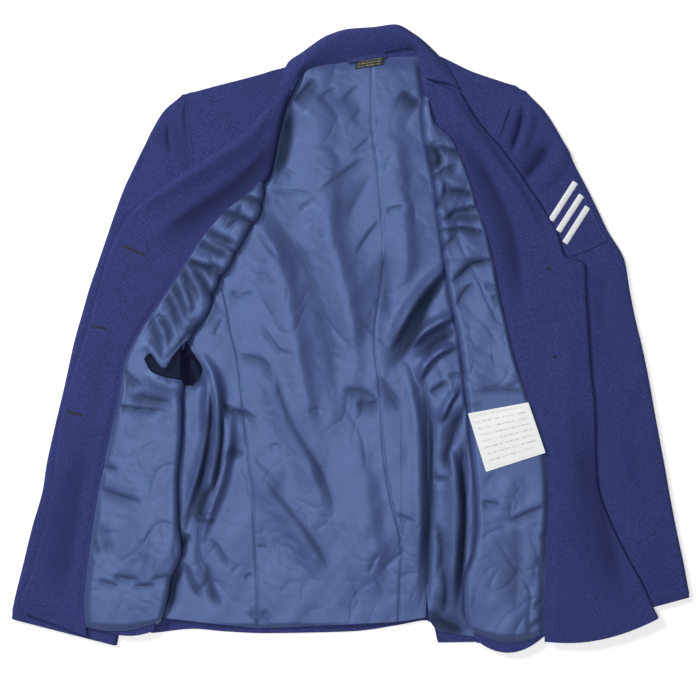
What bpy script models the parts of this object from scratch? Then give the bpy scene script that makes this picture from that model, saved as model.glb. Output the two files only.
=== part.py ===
"""Service dress jacket, laid on its back with the fronts turned open.

The jacket lies on the plane z = 0 with its neck towards +Y. Its wearer's right is at -X.
All tables and sizes are in millimetres. A cloth piece is a surface lofted through
sections, and Solidify gives it the wall.
"""
import math
from collections import namedtuple

import bmesh
import bpy
from mathutils import Vector

MM = 0.001
COLLECTION = "service_dress_jacket"

# The tables count Y from the middle of the back, which lies this far from the box's middle
OUTLINE_MIDDLE_Y = 6.4

# Walls and seams, and the spare room inside a doubled layer
WOOL = 2.0
SATIN = 1.2
SEAM_GAP = 0.3
LABEL_WALL = 1.0
LAYER_ROOM = 0.4

# Height of the middle of each layer above the floor
FLOOR_LAYER = WOOL / 2
BACK_LINING = WOOL + SEAM_GAP + SATIN / 2
LINING_RETURN = BACK_LINING + SATIN + LAYER_ROOM
SLEEVE_TOP = LINING_RETURN + SATIN / 2 + SEAM_GAP + WOOL / 2
LAPEL_RETURN = SLEEVE_TOP + WOOL + LAYER_ROOM
FRONT_LAYER = LAPEL_RETURN + WOOL + SEAM_GAP
FACING = FRONT_LAYER + WOOL + SEAM_GAP
FRONT_LINING = FRONT_LAYER + WOOL / 2 + SEAM_GAP + SATIN / 2

# The inner fold, where a front doubles back over itself, and the front edge
FOLD_CENTRE = (SLEEVE_TOP + FRONT_LAYER) / 2
FOLD_SHELL_RADIUS = FRONT_LAYER - FOLD_CENTRE
FOLD_LINING_RADIUS = FRONT_LINING - FOLD_CENTRE
FOLD_REACH = FOLD_LINING_RADIUS + SATIN / 2
EDGE_RADIUS = FACING - FRONT_LAYER
EDGE_REACH = EDGE_RADIUS + WOOL / 2
LAPEL_RETURN_WIDTH = 26.0
EDGE_RETURN_WIDTH = 4.0
SHELL_INSET = 3.0
LINING_RETURN_WIDTH = 8.0
LINING_HEM_UP = 0.28
LOWER_CELLS = 3
LEAST_SEAM = 0.6
LEAST_EDGE = 1.5
SHOULDER_DROP = 0.9
TUCK_FULL = 0.35
TUCK_FADE = 0.65
CHEST_STEPS = 4

# Angles round a turn, in degrees, and how far a tuck swells the lining's turn at each
FOLD_TURN = (-90, -45, 0, 45, 90)
SLEEVE_TURN = (90, 45, 10)
TUCK_SWELLS = ((-90, 0.0), (-45, 0.15), (0, 0.45), (45, 0.8))

# Shares of a piece's width at which its rows have points
UPPER_SHARES = (0.25, 0.5, 0.75, 1.0)
FACING_SHARES = (0.0, 0.33, 0.67)
LINING_SHARES = (0.0, 0.2, 0.4, 0.6, 0.8, 1.0)
STAND_SHARES = (0.0, 0.25, 0.5, 0.75, 1.0)
CAPE_SHARES = (0.45, 0.8, 1.0)
STRAP_SHARES = (0.0, 0.15, 0.3, 0.5, 0.7, 0.85, 1.0)
LABEL_SHARES = tuple(index / 6 for index in range(7))
PATCH_SHARES = tuple(index / 4 for index in range(5))

# Sleeves: the top wall turns down to the under wall at an edge
TURN_RADIUS = 3.0
TURN_REACH = TURN_RADIUS + WOOL / 2
TURN_END = WOOL + 2 * SEAM_GAP
KNUCKLE_OUT = 0.7
KNUCKLE_DOWN = 0.3
ARMHOLE_OFFSETS = (0.0, 1.0, 2.0)

# Side pieces: from the back seam out along the floor, round and back on top
SIDE_SEAM_IN = 8.0
SIDE_TURN_OUT = 3.5
SIDE_TURN_RADIUS = (SLEEVE_TOP - FLOOR_LAYER) / 2
SIDE_TURN_CENTRE = (SLEEVE_TOP + FLOOR_LAYER) / 2

BUTTON_DIAMETER = 20.0
BUTTON_THICKNESS = 2.1
BUTTON_CORNERS = 20
STRIPE_WIDTH = 6.5
STRIPE_WALL = 0.8
STRAP_WIDTH = 5.0
HANGER_HEIGHT = 8.2
HANGER_BOW = 1.5
CUTTER_HEIGHT = 20.0
MITRE = 1.5

Section = namedtuple("Section", "fold seam edge side")
SleeveSection = namedtuple("SleeveSection", "outer inner")
Panel = namedtuple("Panel", "left right")
Ridge = namedtuple("Ridge", "start end height half_width")
Tuck = namedtuple("Tuck", "section height half_width")
CollarSection = namedtuple("CollarSection", "seam ridge outer seam_z ridge_z outer_z")
Front = namedtuple("Front", "side sections neck_rows hem_sag edge_sag tucks chest drop_rows lapel_end")
Finish = namedtuple("Finish", "colour roughness")

# The wearer's right front: inner fold | facing seam | front edge | armhole or side seam
FRONT_R_SECTIONS = [Section(*row) for row in (
    ((-58, 314), (-61, 314), (-70, 314), (-77, 314)),
    ((-59, 303), (-62, 303), (-71, 303), (-119, 302)),
    ((-63, 294), (-66, 294), (-75, 294), (-158, 292)),
    ((-68, 286), (-71, 286), (-81, 286), (-180, 286)),
    ((-74, 274), (-77, 274), (-88, 274), (-189, 280)),
    ((-80, 255), (-83, 255), (-102, 254), (-188, 262)),
    ((-85, 232), (-89, 232), (-124, 232), (-185, 241)),
    ((-89, 211), (-93, 210), (-154, 211), (-182, 220)),
    ((-93, 193), (-98, 189), (-189, 189), (-181, 197)),
    ((-102, 175), (-116, 170), (-220, 170), (-179, 172)),
    ((-106, 151), (-141, 152), (-246, 151), (-179, 147)),
    ((-122, 126), (-165, 127), (-265, 127), (-180, 120)),
    ((-137, 96), (-186, 97), (-278, 97), (-183, 91)),
    ((-157, 59), (-211, 58), (-289, 59), (-189, 59)),
    ((-170, 29), (-231, 29), (-298, 29), (-197, 27)),
    ((-187, -2), (-250, -2), (-306, -2), (-204, -3)),
    ((-194, -30), (-262, -30), (-315, -30), (-209, -30)),
    ((-196, -64), (-267, -64), (-325, -64), (-210, -64)),
    ((-196, -106), (-277, -106), (-335, -106), (-210, -106)),
    ((-200, -162), (-289, -162), (-342, -162), (-213, -162)),
    ((-200, -208), (-297, -208), (-350, -208), (-213, -208)),
    ((-197, -242), (-302, -244), (-361, -244), (-211, -242)),
    ((-208, -273), (-306, -277), (-370, -277), (-221, -273)),
    ((-214, -303), (-308, -302), (-379, -297), (-228, -303)),
    ((-224, -336), (-305, -339), (-374, -315), (-236, -336)),
)]

# The wearer's left front, in the same columns
FRONT_L_SECTIONS = [Section(*row) for row in (
    ((78, 322), (83, 321), (92, 320), (98, 330)),
    ((83, 298), (90, 295), (125, 285), (143, 309)),
    ((84, 285), (89, 281), (133, 272), (175, 298)),
    ((85, 266), (92, 263), (142, 256), (194, 287)),
    ((87, 248), (98, 248), (156, 240), (182, 266)),
    ((89, 228), (118, 230), (170, 225), (173, 237)),
    ((94, 206), (129, 208), (185, 205), (167, 209)),
    ((100, 178), (140, 179), (203, 179), (164, 179)),
    ((103, 151), (148, 151), (222, 151), (162, 151)),
    ((107, 124), (158, 124), (237, 124), (161, 124)),
    ((110, 96), (165, 96), (247, 96), (160, 94)),
    ((111, 87), (167, 87), (269, 87), (159, 87)),
    ((115, 55), (173, 55), (270, 55), (157, 57)),
    ((122, 25), (180, 25), (272, 25), (156, 25)),
    ((128, -6), (187, -6), (274, -6), (149, -6)),
    ((132, -37), (196, -37), (276, -37), (148, -37)),
    ((136, -75), (210, -75), (280, -75), (150, -75)),
    ((141, -121), (224, -121), (282, -121), (155, -121)),
    ((145, -167), (229, -167), (285, -167), (159, -167)),
    ((147, -208), (228, -208), (299, -208), (160, -208)),
    ((143, -248), (226, -248), (318, -248), (157, -248)),
    ((133, -279), (225, -279), (335, -279), (147, -279)),
    ((133, -309), (224, -309), (347, -305), (147, -309)),
    ((144, -349), (225, -346), (354, -319), (158, -349)),
)]

# Sleeves: outline side | armhole seam, then the hidden inner fold
SLEEVE_R_SECTIONS = [SleeveSection(*row) for row in (
    ((-194, 283), (-189, 280)),
    ((-216, 262), (-188, 262)),
    ((-229, 241), (-185, 241)),
    ((-240, 220), (-182, 220)),
    ((-251, 197), (-181, 197)),
    ((-262, 172), (-179, 172)),
    ((-271, 147), (-179, 147)),
    ((-280, 120), (-180, 120)),
    ((-290, 91), (-183, 91)),
    ((-301, 59), (-189, 59)),
    ((-310, 27), (-197, 27)),
    ((-319, -6), (-217, -7)),
    ((-328, -47), (-228, -47)),
    ((-339, -93), (-236, -93)),
    ((-350, -142), (-244, -144)),
    ((-355, -173), (-249, -179)),
    ((-367, -216), (-256, -225)),
    ((-377, -258), (-260, -277)),
    ((-387, -300), (-266, -328)),
    ((-391, -321), (-270, -352)),
)]
SLEEVE_L_SECTIONS = [SleeveSection(*row) for row in (
    ((202, 286), (194, 287)),
    ((224, 262), (182, 266)),
    ((239, 239), (173, 237)),
    ((254, 209), (167, 209)),
    ((270, 179), (164, 179)),
    ((284, 151), (162, 151)),
    ((297, 124), (161, 124)),
    ((316, 91), (160, 94)),
    ((322, 57), (157, 57)),
    ((328, 27), (156, 25)),
    ((336, -7), (163, -6)),
    ((344, -47), (179, -47)),
    ((352, -93), (193, -93)),
    ((361, -141), (208, -141)),
    ((369, -185), (221, -185)),
    ((377, -225), (236, -231)),
    ((384, -259), (251, -271)),
    ((389, -286), (264, -305)),
    ((391, -296), (273, -328)),
)]
ARMHOLE_ROWS = {"r": 10, "l": 9}

# First row of the front tables below the armhole
UNDERARM_ROW = {"r": 15, "l": 14}

# Back of the neck along the collar seam, and the shoulder seams beyond it
SHOULDER_R = ((-189, 280), (-180, 286), (-158, 292), (-119, 302), (-77, 314))
NECK_SEAM = ((-56, 309), (-37, 314), (-18, 319), (-1, 323), (25, 329), (48, 335), (70, 338))
SHOULDER_L = ((98, 330), (143, 309), (175, 298), (194, 287))
BACK_HEM = ((-182, -333), (-144, -336), (-95, -338), (-1, -336), (52, -329))

# Back linings: left | right
LINING_SIDE_R = [Panel(*row) for row in (
    ((-180, 130), (-176, 128)),
    ((-185, 92), (-163, 94)),
    ((-190, 61), (-149, 63)),
    ((-196, 29), (-141, 32)),
    ((-201, -1), (-136, -1)),
    ((-203, -33), (-130, -33)),
    ((-204, -67), (-125, -67)),
    ((-204, -104), (-120, -104)),
    ((-206, -141), (-117, -141)),
    ((-208, -179), (-114, -179)),
    ((-206, -213), (-111, -213)),
    ((-205, -246), (-109, -246)),
    ((-213, -286), (-108, -288)),
    ((-221, -319), (-106, -332)),
)]
LINING_R = [Panel(*row) for row in (
    ((-87, 308), (25, 326)),
    ((-136, 290), (26, 298)),
    ((-178, 272), (28, 266)),
    ((-179, 229), (30, 224)),
    ((-177, 178), (33, 172)),
    ((-176, 128), (36, 126)),
    ((-163, 94), (37, 89)),
    ((-149, 63), (36, 57)),
    ((-141, 32), (33, 26)),
    ((-136, -1), (31, -6)),
    ((-130, -33), (29, -39)),
    ((-125, -67), (32, -73)),
    ((-120, -104), (34, -110)),
    ((-117, -141), (37, -144)),
    ((-114, -179), (43, -179)),
    ((-111, -213), (50, -213)),
    ((-109, -246), (58, -246)),
    ((-108, -288), (57, -285)),
    ((-106, -332), (55, -324)),
)]
LINING_L = [Panel(*row) for row in (
    ((25, 326), (91, 328)),
    ((26, 298), (120, 298)),
    ((28, 266), (147, 271)),
    ((30, 224), (149, 224)),
    ((33, 172), (149, 172)),
    ((36, 126), (149, 126)),
    ((37, 89), (149, 89)),
    ((36, 57), (147, 57)),
    ((33, 26), (137, 26)),
    ((31, -6), (128, -6)),
    ((29, -39), (117, -37)),
    ((32, -73), (104, -73)),
    ((34, -110), (95, -106)),
    ((37, -144), (93, -141)),
    ((43, -179), (91, -179)),
    ((50, -213), (90, -213)),
    ((58, -246), (89, -246)),
    ((57, -285), (88, -282)),
    ((55, -324), (86, -319)),
)]
LINING_SIDE_L = [Panel(*row) for row in (
    ((137, 26), (147, 26)),
    ((128, -6), (147, -6)),
    ((117, -37), (144, -37)),
    ((104, -73), (147, -73)),
    ((95, -106), (150, -106)),
    ((93, -141), (154, -141)),
    ((91, -179), (157, -179)),
    ((90, -213), (158, -213)),
    ((89, -246), (154, -246)),
    ((88, -282), (144, -282)),
    ((93, -319), (142, -319)),
    ((104, -335), (151, -343)),
)]

# The largest folds of the back lining: from | to | height | half width
BACK_RIDGES = [Ridge(*row) for row in (
    ((-171, -16), (-154, -43), 7.0, 11.0),
    ((-154, -43), (-151, -98), 8.0, 12.0),
    ((-151, -98), (-157, -144), 8.0, 12.0),
    ((-157, -144), (-180, -205), 6.0, 11.0),
    ((-95, -12), (-70, -89), 3.0, 16.0),
    ((-70, -89), (-13, -208), 4.0, 16.0),
    ((-116, -140), (-82, -179), 3.0, 14.0),
    ((-82, -179), (-13, -277), 3.0, 14.0),
    ((-30, 150), (-20, 20), 3.0, 22.0),
    ((86, 25), (104, 64), 4.0, 9.0),
    ((88, -21), (110, 8), 4.0, 9.0),
)]
SIDE_ROLL_L = [Ridge(*row) for row in (
    ((112, -118), (122, -183), 8.0, 14.0),
    ((122, -183), (120, -236), 9.0, 15.0),
    ((120, -236), (116, -300), 7.0, 14.0),
)]

# Collar: neck seam | ridge | free edge, each with its height
COLLAR_SECTIONS = [CollarSection(*row) for row in (
    ((-66, 290), (-71, 291), (-78, 289), 13.4, 14.4, 13.0),
    ((-60, 299), (-66, 303), (-78, 303), 12.6, 15.4, 10.6),
    ((-53, 308), (-56, 317), (-72, 319), 9.0, 15.8, 7.0),
    ((-37, 314), (-41, 332), (-55, 332), 6.4, 15.6, 4.0),
    ((-18, 319), (-20, 346), (-25, 352), 5.4, 15.0, 2.6),
    ((-1, 323), (0, 353), (-1, 359), 5.2, 14.6, 2.2),
    ((25, 329), (26, 355), (26, 361), 5.2, 14.4, 2.2),
    ((48, 335), (50, 358), (51, 364), 5.4, 14.6, 2.4),
    ((70, 338), (70, 348), (73, 353), 7.4, 15.2, 4.0),
    ((78, 325), (86, 333), (93, 335), 11.6, 15.8, 9.6),
    ((81, 310), (98, 317), (107, 319), 13.0, 15.6, 11.6),
    ((85, 301), (112, 296), (125, 288.5), 13.6, 14.6, 13.0),
)]

# Ruching of the turned-back lining: place along the front | height | half width, in sections
TUCKS_R = [Tuck(*row) for row in (
    (9.5, 2.0, 0.3), (10.15, 2.6, 0.3), (10.9, 2.4, 0.3), (11.5, 3.0, 0.3), (12.05, 2.4, 0.26),
    (12.5, 3.2, 0.26), (12.9, 2.6, 0.26), (13.3, 3.2, 0.26), (13.8, 2.8, 0.28), (14.3, 3.0, 0.28),
    (14.8, 3.2, 0.28), (15.3, 3.4, 0.3), (16.5, 3.0, 0.3),
)]
TUCKS_L = [Tuck(*row) for row in (
    (5.4, 2.6, 0.26), (6.0, 2.8, 0.26), (6.5, 2.4, 0.26), (7.1, 3.0, 0.28), (7.6, 2.4, 0.26),
    (8.2, 2.8, 0.28), (8.8, 3.0, 0.26), (9.5, 2.6, 0.28),
)]

FRONTS = (
    Front("r", FRONT_R_SECTIONS, 3, 10.0, 0.0, TUCKS_R, (9, 17), 4, 11.5),
    Front("l", FRONT_L_SECTIONS, 1, 16.0, 10.0, TUCKS_L, (5, 10), 3, 9.5),
)

# Mouth of the right sleeve's lining, and the cloth that shows in it
MOUTH = ((-237, -22), (-229, -17), (-214, -29), (-203, -14),
         (-200, -24), (-203, -42), (-212, -43), (-227, -33))

# Labels and badges, as corners given by place along the piece and share of its width
CARE_LABEL_CORNERS = ((16.45, 0.09), (16.0, 0.97), (17.1, 0.97), (17.65, 0.13))
PATCH_CORNERS = ((4.4, 0.46), (3.6, 0.93), (6.3, 0.955), (6.85, 0.62))
STRIPES = (((230.5, 138), (258.5, 181.5)), ((239, 125.5), (265.5, 166.5)), ((246.5, 112), (272.5, 153)))
BUTTON_PLACES = ((226, 82), (234, -19), (243, -120))
NECK_LABEL = ((5, 313), (8, 322), (39, 327), (38, 317))
HANGER_ENDS = ((-3, 321.5), (40, 329))

WOOL_FINISH = Finish((0.042, 0.050, 0.175), 0.85)
SATIN_FINISH = Finish((0.085, 0.125, 0.330), 0.35)
DARK_SATIN_FINISH = Finish((0.012, 0.014, 0.040), 0.5)
LABEL_FINISH = Finish((0.80, 0.83, 0.82), 0.6)
BLACK_LABEL_FINISH = Finish((0.012, 0.012, 0.014), 0.6)
BUTTON_FINISH = Finish((0.55, 0.56, 0.58), 0.3)


def column(table, name, position):
    """Point of one column of a table at a place counted in rows."""
    row = min(int(position), len(table) - 2)
    start = Vector(getattr(table[row], name))
    end = Vector(getattr(table[row + 1], name))
    return start + (end - start) * (position - row)


def places(first, last, steps):
    """Evenly stepped places between two rows of a table."""
    count = max(1, round((last - first) * steps))
    return [first + (last - first) * index / count for index in range(count + 1)]


def lift(point, height):
    return Vector((point.x, point.y, height))


def mix(start, end, share):
    return start + (end - start) * share


def bump(distance, half_width):
    """Smooth hump, 1 at no distance and 0 from the half width on."""
    if distance >= half_width:
        return 0.0
    return 0.5 + 0.5 * math.cos(math.pi * distance / half_width)


def ridge_height(point, ridges):
    """Height of the highest fold over a point of the plan."""
    height = 0.0
    for ridge in ridges:
        start = Vector(ridge.start)
        run = Vector(ridge.end) - start
        share = max(0.0, min(1.0, (point - start).dot(run) / run.length_squared))
        distance = (point - start - run * share).length
        height = max(height, ridge.height * bump(distance, ridge.half_width))
    return height


def make_material(name, finish):
    material = bpy.data.materials.new(name)
    material.use_nodes = True
    shader = material.node_tree.nodes["Principled BSDF"]
    shader.inputs["Base Color"].default_value = (*finish.colour, 1.0)
    shader.inputs["Roughness"].default_value = finish.roughness
    shader.inputs["Metallic"].default_value = 0.0
    material.diffuse_color = (*finish.colour, 1.0)
    return material


def add_object(name, mesh, finish, collection):
    piece = bpy.data.objects.new(name, mesh)
    piece.data.materials.append(make_material(f"{name}_cloth", finish))
    piece.location.y = -OUTLINE_MIDDLE_Y * MM
    collection.objects.link(piece)
    return piece


def add_wall(name, rows, wall, finish, collection, skip=None):
    """Cloth wall lofted through rows of points, leaving out the cells that skip names."""
    mesh = bpy.data.meshes.new(name)
    cloth = bmesh.new()
    grid = [[cloth.verts.new(point * MM) for point in row] for row in rows]
    for index in range(len(rows) - 1):
        for cell in range(len(rows[index]) - 1):
            if skip and skip(index, cell):
                continue
            corners = (grid[index][cell], grid[index][cell + 1],
                       grid[index + 1][cell + 1], grid[index + 1][cell])
            cloth.faces.new(corners)
    loose = [vertex for vertex in cloth.verts if not vertex.link_faces]
    bmesh.ops.delete(cloth, geom=loose, context="VERTS")
    cloth.to_mesh(mesh)
    cloth.free()
    mesh.shade_smooth()
    piece = add_object(name, mesh, finish, collection)
    solidify = piece.modifiers.new("cloth wall", "SOLIDIFY")
    solidify.thickness = wall * MM
    solidify.offset = 0.0
    solidify.use_even_offset = True
    return piece


def add_slab(name, outline, floor, wall, finish, collection):
    """Flat sheet with the given outline, from one height up."""
    mesh = bpy.data.meshes.new(name)
    cloth = bmesh.new()
    corners = [cloth.verts.new(lift(Vector(point), floor) * MM) for point in outline]
    face = cloth.faces.new(corners)
    top = bmesh.ops.extrude_face_region(cloth, geom=[face])
    raised = [item for item in top["geom"] if isinstance(item, bmesh.types.BMVert)]
    bmesh.ops.translate(cloth, verts=raised, vec=(0, 0, wall * MM))
    bmesh.ops.recalc_face_normals(cloth, faces=cloth.faces)
    cloth.to_mesh(mesh)
    cloth.free()
    return add_object(name, mesh, finish, collection)


def front_section(front, position):
    return Section(*(column(front.sections, name, position) for name in Section._fields))


def row_outward(front, name, row):
    """Direction square to one column at a row, away from the jacket's middle."""
    table = front.sections
    above = Vector(getattr(table[max(row - 1, 0)], name))
    below = Vector(getattr(table[min(row + 1, len(table) - 1)], name))
    run = below - above
    square = Vector((-run.y, run.x)).normalized()
    return square if square.x * Vector(table[row].edge).x > 0 else -square


def outward(front, name, position):
    row = min(int(position), len(front.sections) - 2)
    start = row_outward(front, name, row)
    end = row_outward(front, name, row + 1)
    return mix(start, end, position - row).normalized()


def hem_share(front, position):
    """0 above the last section, rising to 1 at the hem."""
    return max(0.0, position - (len(front.sections) - 2))


def across_front(front, position, share):
    """Plan point on the turned-back front: 0 at the fold, 1 at the seam, 2 at the edge."""
    section = front_section(front, position)
    if share <= 1.0:
        point = mix(section.fold, section.seam, share)
        sag = front.hem_sag * 4 * share * (1 - share)
    else:
        point = mix(section.seam, section.edge, share - 1)
        sag = front.edge_sag * 4 * (share - 1) * (2 - share)
    return point - Vector((0, sag * hem_share(front, position)))


def fold_centre(front, position):
    return column(front.sections, "fold", position) + outward(front, "fold", position) * FOLD_REACH


def fold_arc(front, position, turns):
    """Points round the inner fold, from below to above, at pairs of angle and radius."""
    centre = fold_centre(front, position)
    inward = -outward(front, "fold", position)
    points = []
    for angle, radius in turns:
        turn = math.radians(angle)
        plan = centre + inward * radius * math.cos(turn)
        points.append(lift(plan, FOLD_CENTRE + radius * math.sin(turn)))
    return points


def seam_point(front, position, offset):
    """Point on the facing seam, moved outward by an offset."""
    along = outward(front, "fold", position)
    seam = across_front(front, position, 1.0)
    least = fold_centre(front, position) + along * LEAST_SEAM
    if (seam - least).dot(along) < 0:
        seam = least
    return seam + along * offset


def front_shell_row(front, position):
    section = front_section(front, position)
    centre = fold_centre(front, position)
    inward = (centre - section.side).normalized()
    drop = 1.0 if position < front.drop_rows else 0.0
    start = section.side + inward * (WOOL / 2 + SEAM_GAP if drop else SEAM_GAP)
    lower = [lift(start, SLEEVE_TOP - drop * (SLEEVE_TOP - TURN_END))]
    turn_in = min(TURN_RADIUS, (centre - start).length / 3)
    knuckle = start + inward * turn_in * (1 - drop * KNUCKLE_OUT)
    lower.append(lift(knuckle, SLEEVE_TOP - drop * SHOULDER_DROP))
    lower.append(lift(mix(start, centre, 0.5), SLEEVE_TOP))
    arc = fold_arc(front, position, [(angle, FOLD_SHELL_RADIUS) for angle in FOLD_TURN])
    room = (section.edge - centre).length
    inset = min(EDGE_REACH + SHELL_INSET, room - LEAST_EDGE)
    end = section.edge - outward(front, "edge", position) * inset
    upper = []
    for share in UPPER_SHARES:
        plan = mix(centre, end, share)
        hem = hem_share(front, position)
        if hem > 0:
            plan = plan - Vector((0, hem * front.hem_sag * 4 * share * (1 - share)))
        upper.append(lift(plan, FRONT_LAYER))
    return lower + arc + upper


def add_front_shell(front, collection):
    """Lower layer from the armhole to the fold, and the turned-back layer above it."""
    last = len(front.sections) - 1
    rows = [front_shell_row(front, position) for position in places(0, last, 1)]

    def skip(index, cell):
        return index < front.neck_rows and cell >= LOWER_CELLS

    return add_wall(f"front_shell_{front.side}", rows, WOOL, WOOL_FINISH, collection, skip)


def return_width(front, position):
    if position <= front.lapel_end:
        return LAPEL_RETURN_WIDTH
    return EDGE_RETURN_WIDTH


def facing_row(front, position):
    section = front_section(front, position)
    along = outward(front, "edge", position)
    centre = section.edge - along * EDGE_REACH
    seam = seam_point(front, position, SEAM_GAP / 2)
    flat = []
    for share in FACING_SHARES:
        plan = mix(seam, centre, share)
        sag = front.edge_sag * 4 * share * (1 - share) * hem_share(front, position)
        flat.append(lift(plan - Vector((0, sag)), FACING))
    arc = []
    for angle in FOLD_TURN[::-1]:
        turn = math.radians(angle)
        plan = centre + along * EDGE_RADIUS * math.cos(turn)
        arc.append(lift(plan, FRONT_LAYER + EDGE_RADIUS * math.sin(turn)))
    room = (centre - fold_centre(front, position)).length
    under = centre - along * min(return_width(front, position), 0.5 * room)
    return flat + arc + [lift(under, LAPEL_RETURN)]


def add_front_facing(front, collection):
    last = len(front.sections) - 1
    stations = places(front.neck_rows, last, 1)
    rows = [facing_row(front, position) for position in stations]
    return add_wall(f"front_facing_{front.side}", rows, WOOL, WOOL_FINISH, collection)


def tuck_height(front, position, share):
    """Ruching over the turned-back lining, dying out at the facing seam."""
    height = 0.0
    for tuck in front.tucks:
        height = max(height, tuck.height * bump(abs(position - tuck.section), tuck.half_width))
    return height * bump(max(0.0, share - TUCK_FULL), TUCK_FADE)


def front_lining_height(front, position, share):
    return FRONT_LINING + tuck_height(front, position, share)


def front_lining_row(front, position):
    centre = fold_centre(front, position)
    along = outward(front, "fold", position)
    tuck = tuck_height(front, position, 0.0)
    hidden = [lift(centre + along * LINING_RETURN_WIDTH, LINING_RETURN)]
    turns = [(angle, FOLD_LINING_RADIUS + tuck * swell) for angle, swell in TUCK_SWELLS]
    arc = fold_arc(front, position, turns)
    seam = seam_point(front, position, -SEAM_GAP / 2)
    top = []
    for share in LINING_SHARES:
        plan = mix(centre, seam, share)
        sag = front.hem_sag * 4 * share * (1 - share) * hem_share(front, position)
        height = front_lining_height(front, position, share)
        top.append(lift(plan - Vector((0, sag)), height))
    return hidden + arc + top


def add_front_lining(front, collection):
    last = len(front.sections) - 1 - LINING_HEM_UP
    chest_start, chest_end = front.chest
    stations = places(front.neck_rows, chest_start, 1)
    stations += places(chest_start, chest_end, CHEST_STEPS)[1:]
    stations += places(chest_end, len(front.sections) - 2, 1)[1:]
    stations.append(last)
    rows = [front_lining_row(front, position) for position in stations]
    return add_wall(f"front_lining_{front.side}", rows, SATIN, SATIN_FINISH, collection)


def cut_mouth(lining, cutters):
    """Cut the armhole opening through the turned-back lining."""
    cutter = add_slab("mouth_cutter", MOUTH, FRONT_LAYER - WOOL, CUTTER_HEIGHT, SATIN_FINISH, cutters)
    cutter.hide_render = True
    cutter.display_type = "WIRE"
    cut = lining.modifiers.new("armhole mouth", "BOOLEAN")
    cut.operation = "DIFFERENCE"
    cut.object = cutter


def inset_outline(outline, distance):
    """Corners of a clockwise outline, moved inward."""
    points = [Vector(point) for point in outline]
    moved = []
    for index, point in enumerate(points):
        before = (point - points[index - 1]).normalized()
        after = (points[(index + 1) % len(points)] - point).normalized()
        inward = Vector((before.y + after.y, -before.x - after.x)).normalized()
        moved.append(point + inward * distance * MITRE)
    return moved


def add_mouth_lining(collection):
    """Sleeve lining that shows in the mouth, under the raised lips."""
    outline = inset_outline(MOUTH, 2 * SEAM_GAP)
    floor = FRONT_LAYER + WOOL / 2 + SEAM_GAP
    return add_slab("sleeve_lining_r", outline, floor, LABEL_WALL, DARK_SATIN_FINISH, collection)


def add_lining_panel(name, table, ridges, columns, collection, gap_left, gap_right):
    rows = []
    for position in places(0, len(table) - 1, 1):
        left = column(table, "left", position)
        right = column(table, "right", position)
        across = (right - left).normalized()
        left = left + across * gap_left
        right = right - across * gap_right
        row = []
        for index in range(columns + 1):
            plan = mix(left, right, index / columns)
            row.append(lift(plan, BACK_LINING + ridge_height(plan, ridges)))
        rows.append(row)
    return add_wall(name, rows, SATIN, SATIN_FINISH, collection)


def sleeve_section(table, position):
    return SleeveSection(column(table, "outer", position), column(table, "inner", position))


def add_sleeve(side, table, collection):
    """Top wall, turned down at its free edges, over a flat under wall."""
    top_rows = []
    under_rows = []
    for position in places(0, len(table) - 1, 1):
        section = sleeve_section(table, position)
        across = (section.outer - section.inner).normalized()
        closed = position > ARMHOLE_ROWS[side]
        row = []
        if closed:
            centre = section.inner + across * TURN_REACH
            row.append(lift(centre - across * TURN_RADIUS, TURN_END))
            knuckle = centre - across * TURN_RADIUS * KNUCKLE_OUT
            row.append(lift(knuckle, SLEEVE_TOP - TURN_RADIUS * KNUCKLE_DOWN))
            row.append(lift(centre, SLEEVE_TOP))
        else:
            start = section.inner + across * SEAM_GAP / 2
            row += [lift(start + across * offset, SLEEVE_TOP) for offset in ARMHOLE_OFFSETS]
        centre = section.outer - across * TURN_REACH
        row.append(lift(mix(row[-1].xy, centre, 0.5), SLEEVE_TOP))
        for angle in SLEEVE_TURN:
            turn = math.radians(angle)
            plan = centre + across * TURN_RADIUS * math.cos(turn)
            row.append(lift(plan, SLEEVE_TOP - TURN_RADIUS * (1 - math.sin(turn))))
        row.append(lift(centre + across * TURN_RADIUS, TURN_END))
        top_rows.append(row)
        start = section.inner + across * SEAM_GAP / 2
        under_rows.append([lift(start, FLOOR_LAYER), lift(section.outer, FLOOR_LAYER)])
    add_wall(f"sleeve_top_{side}", top_rows, WOOL, WOOL_FINISH, collection)
    add_wall(f"sleeve_under_{side}", under_rows, WOOL, WOOL_FINISH, collection)


def side_row(front, position, back_edge):
    """Side piece: along the floor from the back seam, round, and back to the front."""
    section = front_section(front, position)
    along = outward(front, "side", position)
    centre = section.side + along * SIDE_TURN_OUT
    start = back_edge(position) + along * SEAM_GAP
    row = [lift(start, FLOOR_LAYER), lift(mix(start, centre, 0.5), FLOOR_LAYER)]
    for angle in FOLD_TURN:
        turn = math.radians(angle)
        plan = centre + along * SIDE_TURN_RADIUS * math.cos(turn)
        row.append(lift(plan, SIDE_TURN_CENTRE + SIDE_TURN_RADIUS * math.sin(turn)))
    row.append(lift(section.side, SLEEVE_TOP))
    return row


def back_edge_r(position):
    side = column(FRONT_R_SECTIONS, "side", position)
    return side - outward(FRONTS[0], "side", position) * SIDE_SEAM_IN


def back_edge_l(position):
    """Side seam of the back at the wearer's left, under the seam of its lining."""
    height = column(FRONT_L_SECTIONS, "side", position).y
    rows = [(Vector(row.left).x, Vector(row.left).y) for row in LINING_SIDE_L]
    for (x_above, y_above), (x_below, y_below) in zip(rows, rows[1:]):
        if y_below <= height <= y_above:
            share = (y_above - height) / (y_above - y_below)
            return Vector((x_above + (x_below - x_above) * share, height))
    return Vector((rows[-1][0], height))


def side_places(front):
    return places(UNDERARM_ROW[front.side], len(front.sections) - 1, 1)


def add_side_shell(front, back_edge, collection):
    rows = [side_row(front, position, back_edge) for position in side_places(front)]
    return add_wall(f"side_shell_{front.side}", rows, WOOL, WOOL_FINISH, collection)


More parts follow.
